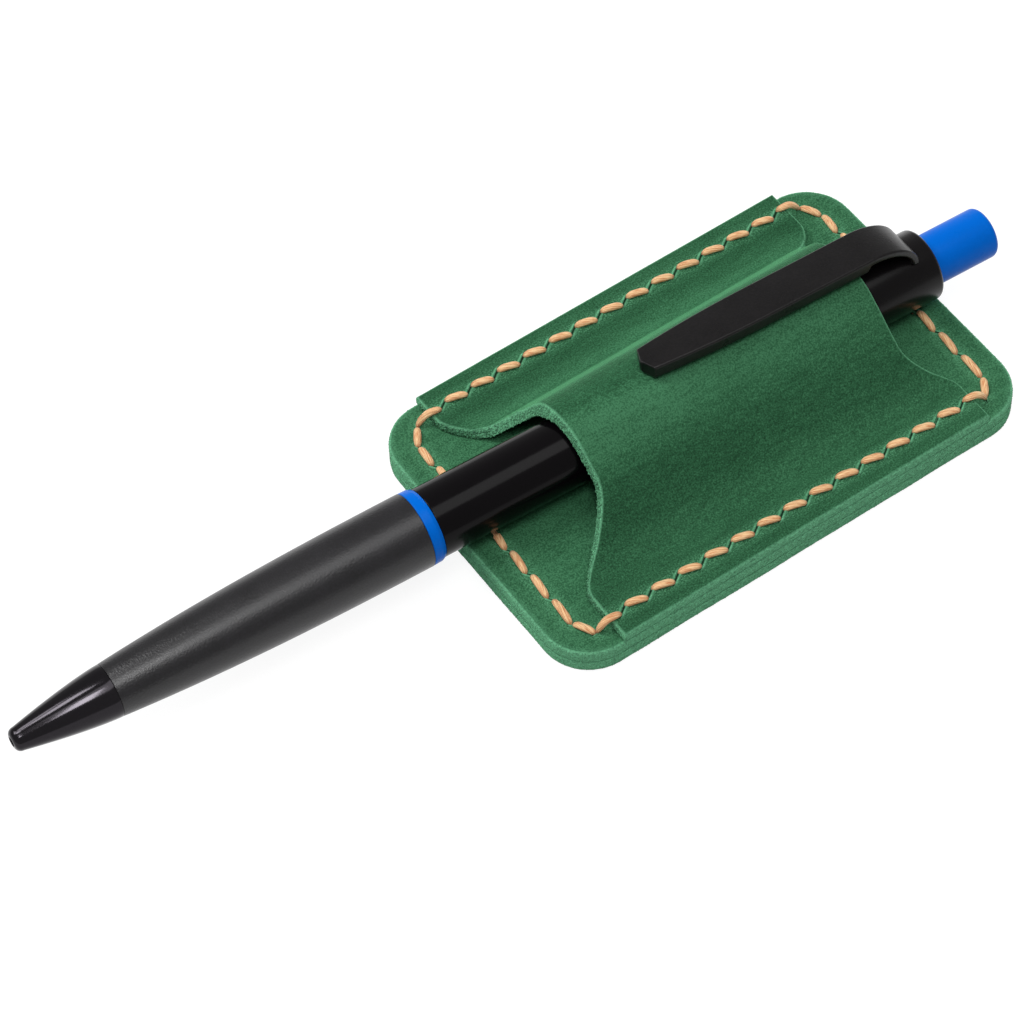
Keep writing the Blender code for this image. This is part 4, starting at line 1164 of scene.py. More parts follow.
def build_sleeve():
    """The arched panel as a closed shell: outer face, inner face and the cut edge between them."""
    columns = len(sleeve_section(0.0))
    front = [mouth_place(-1, column) for column in range(columns)]
    rear = [mouth_place(1, column) for column in range(columns)]
    leans = [front_lean(x, column) for column, x in enumerate(front)]
    lines = [sleeve_rows(*ends) for ends in zip(front, rear)]
    rows = len(lines[0])
    half = case().width / 2
    outer, inner, edge, pale = [], [], [], []
    for row in range(rows):
        for column in range(columns):
            x = lines[column][row]
            point, normal = sleeve_section(x)[column]
            inset = min(x - front[column], rear[column] - x, half - abs(point.x))
            drop = from_table(inset, SOFT_EDGE)
            top = point + normal * (case().sleeve - drop + leather_wave(x, point.x))
            under = point + normal * drop * UNDER_SOFTNESS
            run = (x - front[column]) / (rear[column] - front[column])
            outer.append((x, top.x, top.y))
            inner.append((x - leans[column] * (1 - run) ** 3, under.x, under.y))
            # Painted light and shade on the outer face
            pale.append(painted_sleeve_shading(x, point.x))
            edge.append(rawness(inset, SLEEVE_RAW))
    rim = [(0, column) for column in range(columns)] + [(row, columns - 1) for row in range(1, rows)]
    rim += [(rows - 1, column) for column in range(columns - 2, -1, -1)]
    rim += [(row, 0) for row in range(rows - 2, 0, -1)]
    count = len(outer)
    points = outer + inner
    faces = grid_faces(rows, columns)
    faces += [tuple(reversed(face)) for face in grid_faces(rows, columns, first=count)]
    loops = [[row * columns + column for row, column in rim]]
    for share in RIM_SHARES:
        loop = []
        for row, column in rim:
            top = Vector(outer[row * columns + column])
            place = top.lerp(Vector(inner[row * columns + column]), share)
            outward = (place.x, 0.0, 0.0) if row in (0, rows - 1) else (0.0, place.y, 0.0)
            fibres = waver(top.x * 2600, top.y * 2600, share * 31)
            points.append(tuple(place + Vector(outward).normalized() * (EDGE_BULGE + fibres * 0.00005)))
            loop.append(len(points) - 1)
        loops.append(loop)
    loops.append([count + index for index in loops[0]])
    for upper, lower in zip(loops, loops[1:]):
        for index in range(len(rim)):
            following = (index + 1) % len(rim)
            faces.append((upper[index], lower[index], lower[following], upper[following]))
    between = [0.0] * (len(RIM_SHARES) * len(rim))
    cut = edge + edge + [1.0] * len(between)
    flesh = [0.0] * count + [1.0] * count + between
    pale = pale + [0.0] * count + between
    mesh = mesh_of("sleeve_leather", points, faces, cut_edge=cut, flesh_side=flesh, pale=pale)
    edges = [[points[index] for index in loop] for loop in loops]
    build_nap("sleeve_leather_nap", edges, case().nap, 0.00005, 12)
    mouth = [edge[5 : columns - 5] for edge in edges]
    # The front mouth's tufts are darker: painted shade over the mouth's edge
    build_nap("mouth_nap", mouth, 1.3 * case().nap, 0.00016, 13, shade=0.25, closed=False)
    material = leather_material()
    return finish_mesh("sleeve_leather", mesh, material, "case", ["sleeve_panel"], 60)


class PENCASE_OT_sleeve(bpy.types.Operator):
    """Build the arched leather panel over the pen"""

    bl_idname = "pencase.sleeve"
    bl_label = "Sleeve"

    def execute(self, context):
        build_sleeve()
        return {"FINISHED"}


# Stitches


def row_places(half_span):
    """Holes of one row, about one pitch apart."""
    gaps = max(2, round(2 * half_span / seam().pitch))
    return [-half_span + 2 * half_span * index / gaps for index in range(gaps + 1)]


# Share of the full spread at which the two threads leave a corner hole and a hole of an end row
CORNER_SPREAD, END_SPREAD = 0.2, 0.5


def hole_frames():
    """Each hole as its centre, how far its two threads stand apart, and the direction of its slit."""
    row_x, row_y, end_x, end_y = seam_lines()
    long_row = row_places(end_x)
    short_row = [y + seam().drift * math.cos(math.pi * y / (2 * end_y)) for y in row_places(end_y)]
    places = [Vector((x, -row_y)) for x in long_row] + [Vector((row_x, y)) for y in short_row]
    places += [Vector((-x, row_y)) for x in long_row] + [Vector((-row_x, y)) for y in reversed(short_row)]
    shares = [CORNER_SPREAD] + [1.0] * (len(long_row) - 2) + [CORNER_SPREAD] * 2
    shares += [END_SPREAD] * (len(short_row) - 2) + [CORNER_SPREAD]
    frames = []
    for index, (place, share) in enumerate(zip(places, shares * 2)):
        before, after = places[index - 1], places[(index + 1) % len(places)]
        slit = ((place - before).normalized() + (after - place).normalized()).normalized()
        slit.rotate(Matrix.Rotation(seam().tilt, 2))
        frames.append((place, share, slit))
    return frames


def leather_top(x, y):
    """Height of the face that a stitch lies on."""
    on_flange = abs(x) < sleeve().flange_end and abs(y) > case().width / 2 - seam().end_margin
    return flange_top() if on_flange else base_top()


def under_pen(x, y, radius):
    """Highest centre of a thread that the pen passes over."""
    beside = (y - pen_y(x)) * math.cos(pen().skew)
    reach = arch_radius() + radius
    if abs(beside) >= reach:
        return pen_height()
    return pen_height() - math.sqrt(reach * reach - beside * beside)


FRONT_STEPS = 15
# Girth of a stitch where it enters a hole, how deep it dips there, and half the width of a pressed one
END_GIRTH = 0.36
END_DIP = 0.00008
PRESSED = 0.00028


def front_route(start, end):
    """Centreline and girth of a stitch that shows, where girth 1 is the thread's full width."""
    half = seam().width / 2
    rise = half * seam().flatness
    low, high = leather_top(*start), leather_top(*end)
    route = []
    for step in range(FRONT_STEPS + 1):
        share = step / FRONT_STEPS
        place = start.lerp(end, share)
        swell = 1 - abs(2 * share - 1) ** 3.2
        girth = END_GIRTH + (1 - END_GIRTH) * swell ** 0.55
        z = low + (rise + END_DIP) * swell - END_DIP
        if low != high:
            edge = (sleeve().flange_end - abs(start.x)) / (abs(end.x) - abs(start.x))
            climb = share / edge if high > low else (1 - share) / (1 - edge)
            z = min(low, high) + abs(high - low) * math.sin(math.pi / 2 * min(1, climb)) + rise * swell ** 0.5
        if abs(place.x) > sleeve().flange_end + 0.001 and under_pen(place.x, place.y, half * girth) < z:
            girth = min(girth, PRESSED / half)
            z = min(z, under_pen(place.x, place.y, half * girth))
        route.append(((place.x, place.y, z), girth))
    return route


BACK_STEPS = 10
BACK_HEIGHT = 0.00062
BACK_SAG = 0.00016
# Girth of the thread inside a hole, and heights of the points that it passes there
THIN_GIRTH = 0.3
HOLE_HEIGHTS = (0.0007, 0.0022)


def back_route(start, end):
    """Centreline and girth of a stitch in the groove on the back."""
    route = []
    for step in range(BACK_STEPS + 1):
        share = step / BACK_STEPS
        place = start.lerp(end, share)
        swell = 1 - abs(2 * share - 1) ** 3
        girth = THIN_GIRTH * (1 + swell)
        route.append(((place.x, place.y, BACK_HEIGHT - BACK_SAG * swell), girth))
    return route


def thread_routes(first):
    """All spans of one of the two threads: on the front, on the back and through the holes."""
    frames = hole_frames()
    half = seam().spread / 2
    routes = []
    for index, (place, share, slit) in enumerate(frames):
        following, next_share, next_slit = frames[(index + 1) % len(frames)]
        aside, next_aside = slit * half * share, next_slit * half * next_share
        if (index + first) % 2:
            routes.append(back_route(place - aside, following + next_aside))
            continue
        start, end = place + aside, following - next_aside
        route = front_route(start, end)
        for spot, (centre, _) in ((start, route[0]), (end, route[-1])):
            routes.append([((spot.x, spot.y, z), THIN_GIRTH) for z in (*HOLE_HEIGHTS, centre[2])])
        routes.append(route)
    return routes


def thread_tree():
    """Geometry nodes for a thread: plies round each span's centreline, twisted, pinched and pressed flat."""
    inputs = [
        ("Width", "Float", 0.0012),
        ("Flatness", "Float", 0.74),
        ("Turns", "Float", 0.3),
        ("Plies", "Float", 7.0),
        ("Ply depth", "Float", 0.05),
        ("Sides", "Int", 28),
        ("Seed", "Int", 5),
        ("Material", "Material", None),
    ]
    tree, given, made = nodes_tree("thread_spans", inputs)
    curve = add_node(tree, "GeometryNodeMeshToCurve", {"Mesh": given["Geometry"]}).outputs[0]
    half = maths(tree, "MULTIPLY", given["Width"], 0.5)
    radius = maths(tree, "MULTIPLY", stored_value(tree, "girth"), half)
    factor = add_node(tree, "GeometryNodeSplineParameter").outputs["Factor"]
    spot = add_node(tree, "GeometryNodeInputPosition").outputs[0]
    curve, along = capture(tree, curve, "FLOAT", factor)
    curve, which = capture(tree, curve, "FLOAT", random_number(tree, 0.0, 1.0, given["Seed"]), "CURVE")
    turns = maths(tree, "MULTIPLY_ADD", factor, given["Turns"], which)
    tilted = {"Curve": curve, "Tilt": maths(tree, "MULTIPLY", turns, math.tau)}
    curve = add_node(tree, "GeometryNodeSetCurveTilt", tilted).outputs[0]
    curve, centre = capture(tree, curve, "VECTOR", spot)

    rim = {"Resolution": given["Sides"], "Radius": 1.0}
    circle = add_node(tree, "GeometryNodeCurvePrimitiveCircle", rim, mode="RADIUS").outputs[0]
    circle, around = capture(tree, circle, "FLOAT", factor)
    plies = maths(tree, "MULTIPLY", given["Plies"], math.tau)
    wave = maths(tree, "COSINE", maths(tree, "MULTIPLY", factor, plies))
    # Where a point lies on a ply, for the painted shade between the plies
    circle, ply = capture(tree, circle, "FLOAT", maths(tree, "MULTIPLY_ADD", wave, 0.5, 0.5))
    grown = {0: spot, "Scale": maths(tree, "MULTIPLY_ADD", wave, given["Ply depth"], 1.0)}
    grown = add_node(tree, "ShaderNodeVectorMath", grown, operation="SCALE").outputs[0]
    circle = add_node(tree, "GeometryNodeSetPosition", {"Geometry": circle, "Position": grown}).outputs[0]

    swept = {"Curve": curve, "Profile Curve": circle, "Scale": radius, "Fill Caps": True}
    body = add_node(tree, "GeometryNodeCurveToMesh", swept).outputs[0]
    offset = vector_maths(tree, "SUBTRACT", spot, centre)
    flat = add_node(tree, "ShaderNodeCombineXYZ", {0: 1.0, 1: 1.0, 2: given["Flatness"]}).outputs[0]
    pressed = vector_maths(tree, "MULTIPLY_ADD", offset, flat, centre)
    lift = add_node(tree, "ShaderNodeSeparateXYZ", {0: offset}).outputs[2]
    # How high a point stands on the thread, for its painted top light and side shade
    body, crown = capture(tree, body, "FLOAT", maths(tree, "DIVIDE", lift, half))
    shape = add_node(tree, "GeometryNodeSetPosition", {"Geometry": body, "Position": pressed}).outputs[0]
    return end_tree(tree, shape, given, made, along=along, around=around, ply=ply, stitch=which, crown=crown)


def build_thread(name, node, first, tree):
    """One thread of the saddle stitch."""
    points, edges, girths = [], [], []
    for route in thread_routes(first):
        for index, (place, girth) in enumerate(route):
            points.append(place)
            girths.append(girth)
            if index:
                edges.append((len(points) - 2, len(points) - 1))
    lines = bpy.data.meshes.new(name + "_lines")
    lines.from_pydata(points, edges, [])
    store(lines, "girth", girths)
    stitch = seam()
    values = {
        "Width": stitch.width,
        "Flatness": stitch.flatness,
        "Turns": stitch.turns,
        "Plies": float(stitch.plies),
        "Material": thread_material(),
    }
    mesh = grow_mesh(name, lines, tree, values)
    return finish_mesh(name, mesh, thread_material(), "case", [node], 70)


class PENCASE_OT_stitches(bpy.types.Operator):
    """Sew the saddle stitch with its two threads"""

    bl_idname = "pencase.stitches"
    bl_label = "Stitches"

    def execute(self, context):
        tree = thread_tree()
        build_thread("thread_a", "stitch_thread_a", 0, tree)
        build_thread("thread_b", "stitch_thread_b", 1, tree)
        return {"FINISHED"}


def awl_mark_mesh():
    """One awl mark along X: a slit painted dark as painted shade, between two raised, rubbed lips."""
    rows, columns = 31, 21
    half_length, half_width = 0.00150, 0.00060
    lip_height, rim_depth, lift = 0.00013, 0.00004, 0.000012
    lip_place, lip_spread, slit_spread, slit_end = 0.46, 0.26, 0.22, 0.86
    near_lip, far_lip = 1.5, 0.7
    points, lip, pit = [], [], []
    for row in range(rows):
        along = -1 + 2 * row / (rows - 1)
        lens = max(0.0, 1 - abs(along) ** 3) ** 0.6
        tail = smoothstep((1 - abs(along)) / 0.45)
        for column in range(columns):
            across = -1 + 2 * column / (columns - 1)
            strength = near_lip if across < 0 else far_lip
            ridge = math.exp(-(((abs(across) - lip_place) / lip_spread) ** 2)) * lens * strength
            # The slit's mask, painted dark as shade by the leather material
            slit = math.exp(-((across / slit_spread) ** 2)) * min(1.0, 3 * lens) * (abs(along) < slit_end)
            wobble = waver(along * 7, across * 5, 1.7) * 0.00002
            height = ridge * (lip_height + wobble) + lift
            if column in (0, columns - 1) or row in (0, rows - 1):
                height -= rim_depth
            points.append((along * half_length, across * half_width * (0.35 + 0.65 * lens) + wobble, height))
            patchy = 0.75 + 0.5 * waver(along * 9, across * 4, 5.3)
            lip.append(min(1.0, ridge * 1.1) * (1 - slit) * tail * patchy)
            pit.append(slit)
    return mesh_of("awl_mark", points, grid_faces(rows, columns), outward=False, lip=lip, pit=pit)


def scatter_tree():
    """Geometry nodes that set copies of an object on points, each turned and sized by the points' values."""
    inputs = [
        ("Item", "Object", None),
        ("Uneven", "Float", 0.1),
        ("Seed", "Int", 3),
        ("Material", "Material", None),
    ]
    tree, given, made = nodes_tree("scattered_marks", inputs)
    item = add_node(tree, "GeometryNodeObjectInfo", {"Object": given["Item"]}).outputs["Geometry"]
    low = maths(tree, "SUBTRACT", 1.0, given["Uneven"])
    high = maths(tree, "ADD", 1.0, given["Uneven"])
    size = maths(tree, "MULTIPLY", random_number(tree, low, high, given["Seed"]), stored_value(tree, "size"))
    turn = stored_value(tree, "turn", "FLOAT_VECTOR")
    rotation = add_node(tree, "FunctionNodeEulerToRotation", {0: turn}).outputs[0]
    placed = {"Points": given["Geometry"], "Instance": item, "Rotation": rotation, "Scale": size}
    shape = add_node(tree, "GeometryNodeInstanceOnPoints", placed).outputs[0]
    return end_tree(tree, shape, given, made)


def build_awl_marks():
    """An awl mark at every hole, turned along its slit."""
    places, turns, sizes = [], [], []
    for place, share, slit in hole_frames():
        places.append((place.x, place.y, leather_top(*place)))
        turns.append((0.0, 0.0, math.atan2(slit.y, slit.x)))
        sizes.append(0.4 + 0.6 * share)
    item = bpy.data.objects.new("awl_mark_item", awl_mark_mesh())
    bpy.context.scene.collection.objects.link(item)
    spots = bpy.data.meshes.new("awl_mark_spots")
    spots.from_pydata(places, [], [])
    store(spots, "turn", turns)
    store(spots, "size", sizes)
    values = {"Item": item, "Uneven": 0.08, "Material": leather_material()}
    mesh = grow_mesh("awl_marks", spots, scatter_tree(), values)
    bpy.data.objects.remove(item, do_unlink=True)
    return finish_mesh("awl_marks", mesh, leather_material(), "case", [], 80)


class PENCASE_OT_awl_marks(bpy.types.Operator):
    """Prick the slanted awl marks that the thread passes through"""

    bl_idname = "pencase.awl_marks"
    bl_label = "Awl marks"

    def execute(self, context):
        build_awl_marks()
        return {"FINISHED"}


# Pen


def swelling(start, end, low, high, power, steps):
    """Points of an outline that swells from one radius to another."""
    points = []
    for step in range(steps + 1):
        share = step / steps
        points.append((start + (end - start) * share, low + (high - low) * (1 - (1 - share) ** power)))
    return points


def dress(name, node, profile, material, body):
    """A turned piece in place of its CAD node."""
    return finish_mesh(name, lathe(name, profile), material, body, [node], 28)


NOSE_BACK_RADIUS = 0.00345


class PENCASE_OT_nose(bpy.types.Operator):
    """Turn the polished nose cone"""

    bl_idname = "pencase.nose"
    bl_label = "Nose cone"

    def execute(self, context):
        back = stations()["nose_back"] + 0.00008
        tip_length, tip_radius, hole = 0.0009, 0.00155, 0.00060
        lip = hole + 0.0001
        tip_bore_end, tip_bore = 0.0025, 0.00145
        bore_start, bore = 0.009, 0.00235
        tenon_end, tenon = back + 0.005, 0.00285
        profile = [(tip_bore_end, hole), (0.0001, hole)]
        for step in range(8):
            angle = math.pi / 2 * step / 8
            x = tip_length - tip_length * math.cos(angle)
            profile.append((x, lip + (tip_radius - lip) * math.sin(angle)))
        profile += swelling(tip_length, back - 0.00012, tip_radius, NOSE_BACK_RADIUS, 1.35, 26)
        profile += [(back - 0.00002, NOSE_BACK_RADIUS - 0.00002), (back, NOSE_BACK_RADIUS - 0.00006)]
        profile += [(back, tenon), (tenon_end, tenon), (tenon_end, bore)]
        profile += [(bore_start, bore), (bore_start, tip_bore), (tip_bore_end, tip_bore)]
        dress("nose", "nose_cone", profile, nose_material(), "pen")
        return {"FINISHED"}


# Radius of the barrels' bores that take the joining bush, and how far it reaches into each
SOCKET = 0.00395
BUSH_REACH = 0.0064


def grip_profile():
    """Outline of the swelling grip, with the bush's socket, the spring's bore and the nose's socket."""
    marks = stations()
    front, end = marks["grip_front"], marks["grip_back"]
    back = end + 0.00007
    spring_bore, nose_socket, nose_socket_end = 0.0026, 0.003, marks["nose_back"] + 0.0052
    thickest = pen().grip_radius
    profile = [(front, NOSE_BACK_RADIUS - 0.00005), (front + 0.00004, NOSE_BACK_RADIUS)]
    profile += swelling(front, back - 0.00005, NOSE_BACK_RADIUS, thickest, 2.5, 60)[1:]
    profile += [(back, thickest - 0.00005), (back, SOCKET)]
    profile += [(end - BUSH_REACH, SOCKET), (end - BUSH_REACH, spring_bore)]
    return profile + [(nose_socket_end, spring_bore), (nose_socket_end, nose_socket), (front, nose_socket)]


def ring_profile():
    """Outline of the ring, which steps down to the rear barrel."""
    front, back = stations()["ring_front"], stations()["ring_back"] + 0.00006
    wide, narrow = pen().grip_radius, pen().barrel_radius
    corners = [(front, SOCKET, 0), (front, wide - 0.00002, 0.00014)]
    corners += [(back - 0.00045, wide - 0.00006, 0.0001), (back, narrow + 0.00004, 0.00008)]
    return rounded_profile(corners + [(back, SOCKET, 0)])


def barrel_profile():
    """Outline of the rear barrel, with the neck that the cap goes on."""
    front, shoulder = stations()["barrel_front"], stations()["barrel_back"]
    radius = pen().barrel_radius
    neck_end, neck, bore = shoulder + 0.0112, 0.00405, 0.0036
    bush_end = front + BUSH_REACH
    corners = [(front, SOCKET, 0), (front, radius, 0.00012), (shoulder, radius, 0.00008)]
    corners += [(shoulder, neck, 0), (neck_end, neck, 0), (neck_end, bore, 0)]
    return rounded_profile(corners + [(bush_end, bore, 0), (bush_end, SOCKET, 0)])


class PENCASE_OT_barrels(bpy.types.Operator):
    """Turn the grip, the ring and the rear barrel"""

    bl_idname = "pencase.barrels"
    bl_label = "Barrels and ring"

    def execute(self, context):
        dress("grip", "grip_barrel", grip_profile(), grip_material(), "pen")
        dress("ring", "accent_ring", ring_profile(), accent_material(), "pen")
        dress("barrel", "upper_barrel", barrel_profile(), barrel_material(), "pen")
        return {"FINISHED"}


class PENCASE_OT_button(bpy.types.Operator):
    """Mould the push button"""

    bl_idname = "pencase.button"
    bl_label = "Push button"

    def execute(self, context):
        radius = pen().button_radius
        back, front = stations()["button_back"], stations()["cap_back"] - 0.0077
        bore_end, bore = back - 0.004, 0.0025
        corners = [(back + 0.00008, 0.0, 0), (back + 0.00004, 0.0018, 0), (back - 0.00004, radius, 0.00075)]
        corners += [(front, radius, 0.0002), (front, bore, 0), (bore_end, bore, 0), (bore_end, 0.0, 0)]
        profile = rounded_profile(corners)
        dress("button", "push_button", profile, accent_material(), "button")
        return {"FINISHED"}


def clip_half_width(x, tip):
    """Half width of the clip at a station: a blunt point and sides that swell."""
    shape = pen()
    corner = shape.clip_tip_width / 2
    from_tip = x - tip
    if from_tip < shape.clip_point:
        return max(0.00025, corner * from_tip / shape.clip_point)
    share = min(1.0, (from_tip - shape.clip_point) / shape.clip_taper)
    return corner + (shape.clip_width / 2 - corner) * (1 - (1 - share) ** 2)


# Steps of the clip's loft along its point, its plate, where the plate thins and its arch
POINT_STEPS, PLATE_STEPS, THINNING_STEPS, ARCH_STEPS = 8, 26, 4, 28
CLIP_RING = 40
CLIP_ROUNDING = 0.00032
TIP_ROUNDING = 0.00022
CLIP_FOOT_DEPTH = 0.00055


def clip_sections():
    """The clip's upper and lower line, as pairs of x and z, from its tip over the plate and down the arch."""
    shape = pen()
    root = stations()["cap_back"] - shape.clip_root
    tip = root - shape.clip_reach
    lowered = shape.clip_width / 2 * math.sin(shape.clip_roll)
    under = (arch_radius() + case().sleeve + shape.clip_gap + lowered) / math.cos(shape.clip_roll)
    top = under + shape.clip_thickness
    bend_x, bend_z = root - shape.clip_arch, shape.cap_radius - shape.clip_sink
    rise, inner_rise = top - bend_z, top - bend_z - shape.clip_wall
    inner_reach = shape.clip_arch - shape.clip_wall
    foot = shape.cap_radius - CLIP_FOOT_DEPTH
    thinning = bend_x - (shape.clip_thickness - shape.clip_wall)
    plate = tip + shape.clip_point
    sections = []
    for step in range(POINT_STEPS + 1):
        x = tip + shape.clip_point * (step / POINT_STEPS) ** 1.5
        short = max(0.0, 1 - (x - tip) / TIP_ROUNDING)
        drop = TIP_ROUNDING * (1 - math.sqrt(1 - short ** 2))
        sections.append(((x, top - drop), (x, under + drop * 1.5)))
    for step in range(1, PLATE_STEPS + 1):
        x = plate + (thinning - tip - shape.clip_point) * step / PLATE_STEPS
        sections.append(((x, top), (x, under)))
    for step in range(1, THINNING_STEPS + 1):
        x = thinning + (bend_x - thinning) * step / THINNING_STEPS
        lift = (bend_z + inner_rise - under) * smoothstep(step / THINNING_STEPS)
        sections.append(((x, top), (x, under + lift)))
    last_outer = math.acos((foot - bend_z) / rise)
    last_inner = math.acos((foot - bend_z) / inner_rise)
    for step in range(1, ARCH_STEPS + 1):
        outer, inner = last_outer * step / ARCH_STEPS, last_inner * step / ARCH_STEPS
        upper = (bend_x + shape.clip_arch * math.sin(outer), bend_z + rise * math.cos(outer))
        lower = (bend_x + inner_reach * math.sin(inner), bend_z + inner_rise * math.cos(inner))
        sections.append((upper, lower))
    return sections, tip


def rounded_box(half, height, rounding, count):
    """Points round a box of width 2 half from height 0 up, with rounded corners."""
    points = []
    side, top, steps = half - rounding, height - rounding, count // 4
    for x, y, start in ((side, rounding, -90), (side, top, 0), (-side, top, 90), (-side, rounding, 180)):
        for step in range(steps):
            angle = math.radians(start + 90 * step / (steps - 1))
            points.append((x + rounding * math.cos(angle), y + rounding * math.sin(angle)))
    return points


def build_clip():
    """The pocket clip as a loft: rounded sections along the plate and down its arch to the cap."""
    sections, tip = clip_sections()
    points = []
    for (upper_x, upper_z), (lower_x, lower_z) in sections:
        half = clip_half_width(max(upper_x, tip + 1e-6), tip)
        height = math.hypot(upper_x - lower_x, upper_z - lower_z)
        rounding = min(CLIP_ROUNDING, height * 0.3, half * 0.45)
        for across, up in rounded_box(half, height, rounding, CLIP_RING):
            x = lower_x + (upper_x - lower_x) * up / height
            points.append((x, across, lower_z + (upper_z - lower_z) * up / height))
    faces = grid_faces(len(sections), CLIP_RING, closed_columns=True)
    faces.append(tuple(range(CLIP_RING)))
    faces.append(tuple(reversed(range(len(points) - CLIP_RING, len(points)))))
    mesh = mesh_of("clip", points, faces, merge=True)
    mesh.transform(clip_frame())
    return finish_mesh("clip", mesh, clip_material(), "clip", ["pocket_clip"], 40)


class PENCASE_OT_cap_and_clip(bpy.types.Operator):
    """Mould the cap and the pocket clip"""

    bl_idname = "pencase.cap_and_clip"
    bl_label = "Cap and clip"

    def execute(self, context):
        marks = stations()
        front, back = marks["cap_front"], marks["cap_back"]
        radius = pen().cap_radius
        wall, neck_bore, button_bore = marks["barrel_back"] + 0.0114, 0.0042, 0.00355
        corners = [(front, neck_bore, 0), (front, radius, 0.00014), (back, radius, 0.00055)]
        corners += [(back, button_bore, 0.0001), (wall, button_bore, 0), (wall, neck_bore, 0)]
        dress("cap", "clip_cap", rounded_profile(corners), cap_material(), "pen")
        build_clip()
        return {"FINISHED"}


class PENCASE_OT_inner_parts(bpy.types.Operator):
    """Finish the parts inside the pen"""

    bl_idname = "pencase.inner_parts"
    bl_label = "Inner parts"

    def execute(self, context):
        finishes = {
            "joining_bush": brass_material(),
            "guide_sleeve": acetal_material(),
            "cam_rotor": acetal_material(),
            "button_plunger": acetal_material(),
            "refill_plug": acetal_material(),
            "return_spring": steel_material(),
            "refill_tube": steel_material(),
            "refill_point": brass_material(),
            "writing_ball": steel_material(),
        }
        for node, material in finishes.items():
            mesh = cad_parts[node].data
            mesh.materials.clear()
            mesh.materials.append(material)
        return {"FINISHED"}


# Stage


FLOOR_HALF = 3.0
FLOOR_DROP = 0.00003


def grey(value):
    """An opaque grey."""
    return (value, value, value, 1.0)


def floor_material():
    """A grey that turns white for the camera and in reflections, and is clear from below."""
    material = bpy.data.materials.new("pale_floor")
    material.use_nodes = True
    tree = material.node_tree
    tree.nodes.clear()
    rays = add_node(tree, "ShaderNodeLightPath").outputs
    seen = maths(tree, "MAXIMUM", rays["Is Camera Ray"], rays["Is Glossy Ray"])
    seen = maths(tree, "MAXIMUM", seen, rays["Is Transmission Ray"])
    plain = add_node(tree, "ShaderNodeBsdfDiffuse", {"Color": grey(0.70)}).outputs[0]
    dim = add_node(tree, "ShaderNodeBsdfDiffuse", {"Color": grey(0.22)}).outputs[0]
    glow = add_node(tree, "ShaderNodeEmission", {"Color": grey(1.0), "Strength": 0.88}).outputs[0]
    bright = add_node(tree, "ShaderNodeAddShader", {0: dim, 1: glow}).outputs[0]
    mixed = add_node(tree, "ShaderNodeMixShader", {0: seen, 1: plain, 2: bright}).outputs[0]
    clear = add_node(tree, "ShaderNodeBsdfTransparent").outputs[0]
    below = add_node(tree, "ShaderNodeNewGeometry").outputs["Backfacing"]
    both = add_node(tree, "ShaderNodeMixShader", {0: below, 1: mixed, 2: clear}).outputs[0]
    add_node(tree, "ShaderNodeOutputMaterial", {"Surface": both})
    return material


def build_floor():
    """A plain floor just under the case, which keeps its shadow."""
    corners = [(x * FLOOR_HALF, y * FLOOR_HALF, 0.0) for x, y in ((-1, -1), (1, -1), (1, 1), (-1, 1))]
    mesh = bpy.data.meshes.new("floor")
    mesh.from_pydata(corners, [], [(0, 1, 2, 3)])
    mesh.materials.append(floor_material())
    floor = bpy.data.objects.new("floor", mesh)
    floor.location.z = -FLOOR_DROP
    bpy.context.scene.collection.objects.link(floor)


def build_world():
    """A white backdrop for the camera, greyer in reflections, and an even light from all round."""
    world = bpy.data.worlds.new("studio")
    world.use_nodes = True
    tree = world.node_tree
    tree.nodes.clear()
    rays = add_node(tree, "ShaderNodeLightPath").outputs
    seen = maths(tree, "MAXIMUM", rays["Is Camera Ray"], rays["Is Transmission Ray"])
    strength = stretch(tree, seen, 0.0, 1.0, stage().sky, 1.0)
    strength = maths(tree, "MULTIPLY_ADD", rays["Is Glossy Ray"], stage().mirrored - stage().sky, strength)
    backdrop = add_node(tree, "ShaderNodeBackground", {"Color": grey(1.0), "Strength": strength}).outputs[0]
    add_node(tree, "ShaderNodeOutputWorld", {"Surface": backdrop})
    bpy.context.scene.world = world


# Each lamp's place, what it points at and its size, under the name of its power in the settings
LAMPS = {
    "window": ((-0.30, 0.34, 0.52), (-0.02, 0.0, 0.0), (0.30, 0.24)),
    "rim": ((0.43, 0.38, 0.14), (0.0, 0.0, 0.01), (0.42, 0.16)),
    "key": ((0.03, -0.135, 0.57), (0.0, 0.0, 0.01), (0.46, 0.30)),
    "nose": ((-0.15, -0.19, 0.54), (-0.09, 0.0, 0.01), (0.075, 0.18)),
    "strip": ((-0.15, 0.185, 0.55), (-0.09, 0.0, 0.01), (0.10, 0.12)),
}


def add_lamp(name, place, target, size):
    """A large soft light that points at a place. The low one behind the button shows in no reflection."""
    lamp = bpy.data.lights.new(name, "AREA")
    lamp.shape = "RECTANGLE"
    lamp.size, lamp.size_y = size
    lamp.energy = getattr(stage(), name)
    item = bpy.data.objects.new(name, lamp)
    item.location = place
    item.rotation_euler = (Vector(target) - Vector(place)).to_track_quat("-Z", "Y").to_euler()
    item.visible_glossy = name != "rim"
    bpy.context.scene.collection.objects.link(item)


CAMERA_PLACE = (-0.182276, -0.236414, 0.398986)
CAMERA_TURN = (35.634364, 1.507013, -35.081703)


def build_camera():
    """The camera, fitted to the outlines of the case and the pen in the photo."""
    camera = bpy.data.cameras.new("camera")
    camera.lens = stage().focal
    camera.sensor_width = 36.0
    camera.clip_start = 0.01
    camera.clip_end = 20.0
    item = bpy.data.objects.new("camera", camera)
    item.location = CAMERA_PLACE
    item.rotation_euler = [math.radians(angle) for angle in CAMERA_TURN]
    bpy.context.scene.collection.objects.link(item)
    bpy.context.scene.camera = item


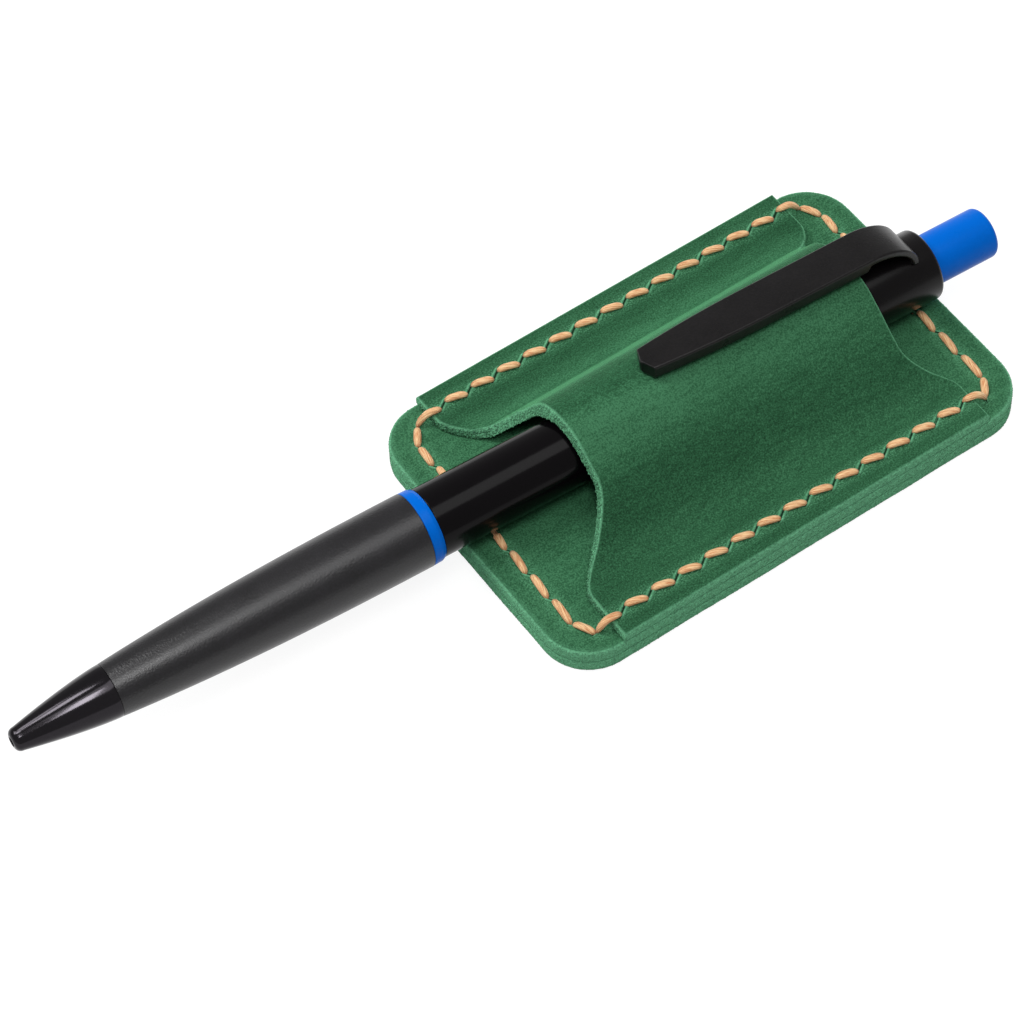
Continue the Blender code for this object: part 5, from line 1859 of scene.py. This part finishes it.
class PENCASE_OT_stage(bpy.types.Operator):
    """Set the floor, the light and the camera"""

    bl_idname = "pencase.stage"
    bl_label = "Stage"

    def execute(self, context):
        build_floor()
        build_world()
        for name, (place, target, size) in LAMPS.items():
            add_lamp(name, place, target, size)
        build_camera()
        context.scene.view_settings.view_transform = "Standard"
        return {"FINISHED"}


# Add-on


class PENCASE_PT_panel(bpy.types.Panel):
    """Sizes, colours and build steps of the leather pen case"""

    bl_idname = "PENCASE_PT_panel"
    bl_label = "Pen Case"
    bl_space_type = "VIEW_3D"
    bl_region_type = "UI"
    bl_category = "Pen Case"

    def draw(self, context):
        layout = self.layout
        for operator in OPERATORS:
            layout.operator(operator.bl_idname)
        for label, settings in (
            ("Leather", case()),
            ("Sleeve", sleeve()),
            ("Stitch", seam()),
            ("Pen", pen()),
            ("Stage", stage()),
        ):
            box = layout.box()
            box.label(text=label)
            for key in settings.__annotations__:
                box.prop(settings, key)


OPERATORS = (
    PENCASE_OT_panels,
    PENCASE_OT_sleeve,
    PENCASE_OT_stitches,
    PENCASE_OT_awl_marks,
    PENCASE_OT_nose,
    PENCASE_OT_barrels,
    PENCASE_OT_button,
    PENCASE_OT_cap_and_clip,
    PENCASE_OT_inner_parts,
    PENCASE_OT_stage,
)
SETTINGS = {
    "pen_case_leather": LeatherSettings,
    "pen_case_sleeve": SleeveSettings,
    "pen_case_stitch": StitchSettings,
    "pen_case_pen": PenSettings,
    "pen_case_stage": StageSettings,
}


def register():
    """Registers the settings, the operators and the panel."""
    for name, group in SETTINGS.items():
        bpy.utils.register_class(group)
        setattr(bpy.types.Scene, name, PointerProperty(type=group))
    for item in (*OPERATORS, PENCASE_PT_panel):
        bpy.utils.register_class(item)


def unregister():
    """Removes what register added."""
    for item in reversed((*OPERATORS, PENCASE_PT_panel)):
        bpy.utils.unregister_class(item)
    for name, group in SETTINGS.items():
        delattr(bpy.types.Scene, name)
        bpy.utils.unregister_class(group)


def main():
    """Registers the add-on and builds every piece."""
    register()
    for operator in OPERATORS:
        group, name = operator.bl_idname.split(".")
        if getattr(getattr(bpy.ops, group), name)() != {"FINISHED"}:
            raise RuntimeError(operator.bl_idname + " didn't finish")


if __name__ == "__main__":
    main()
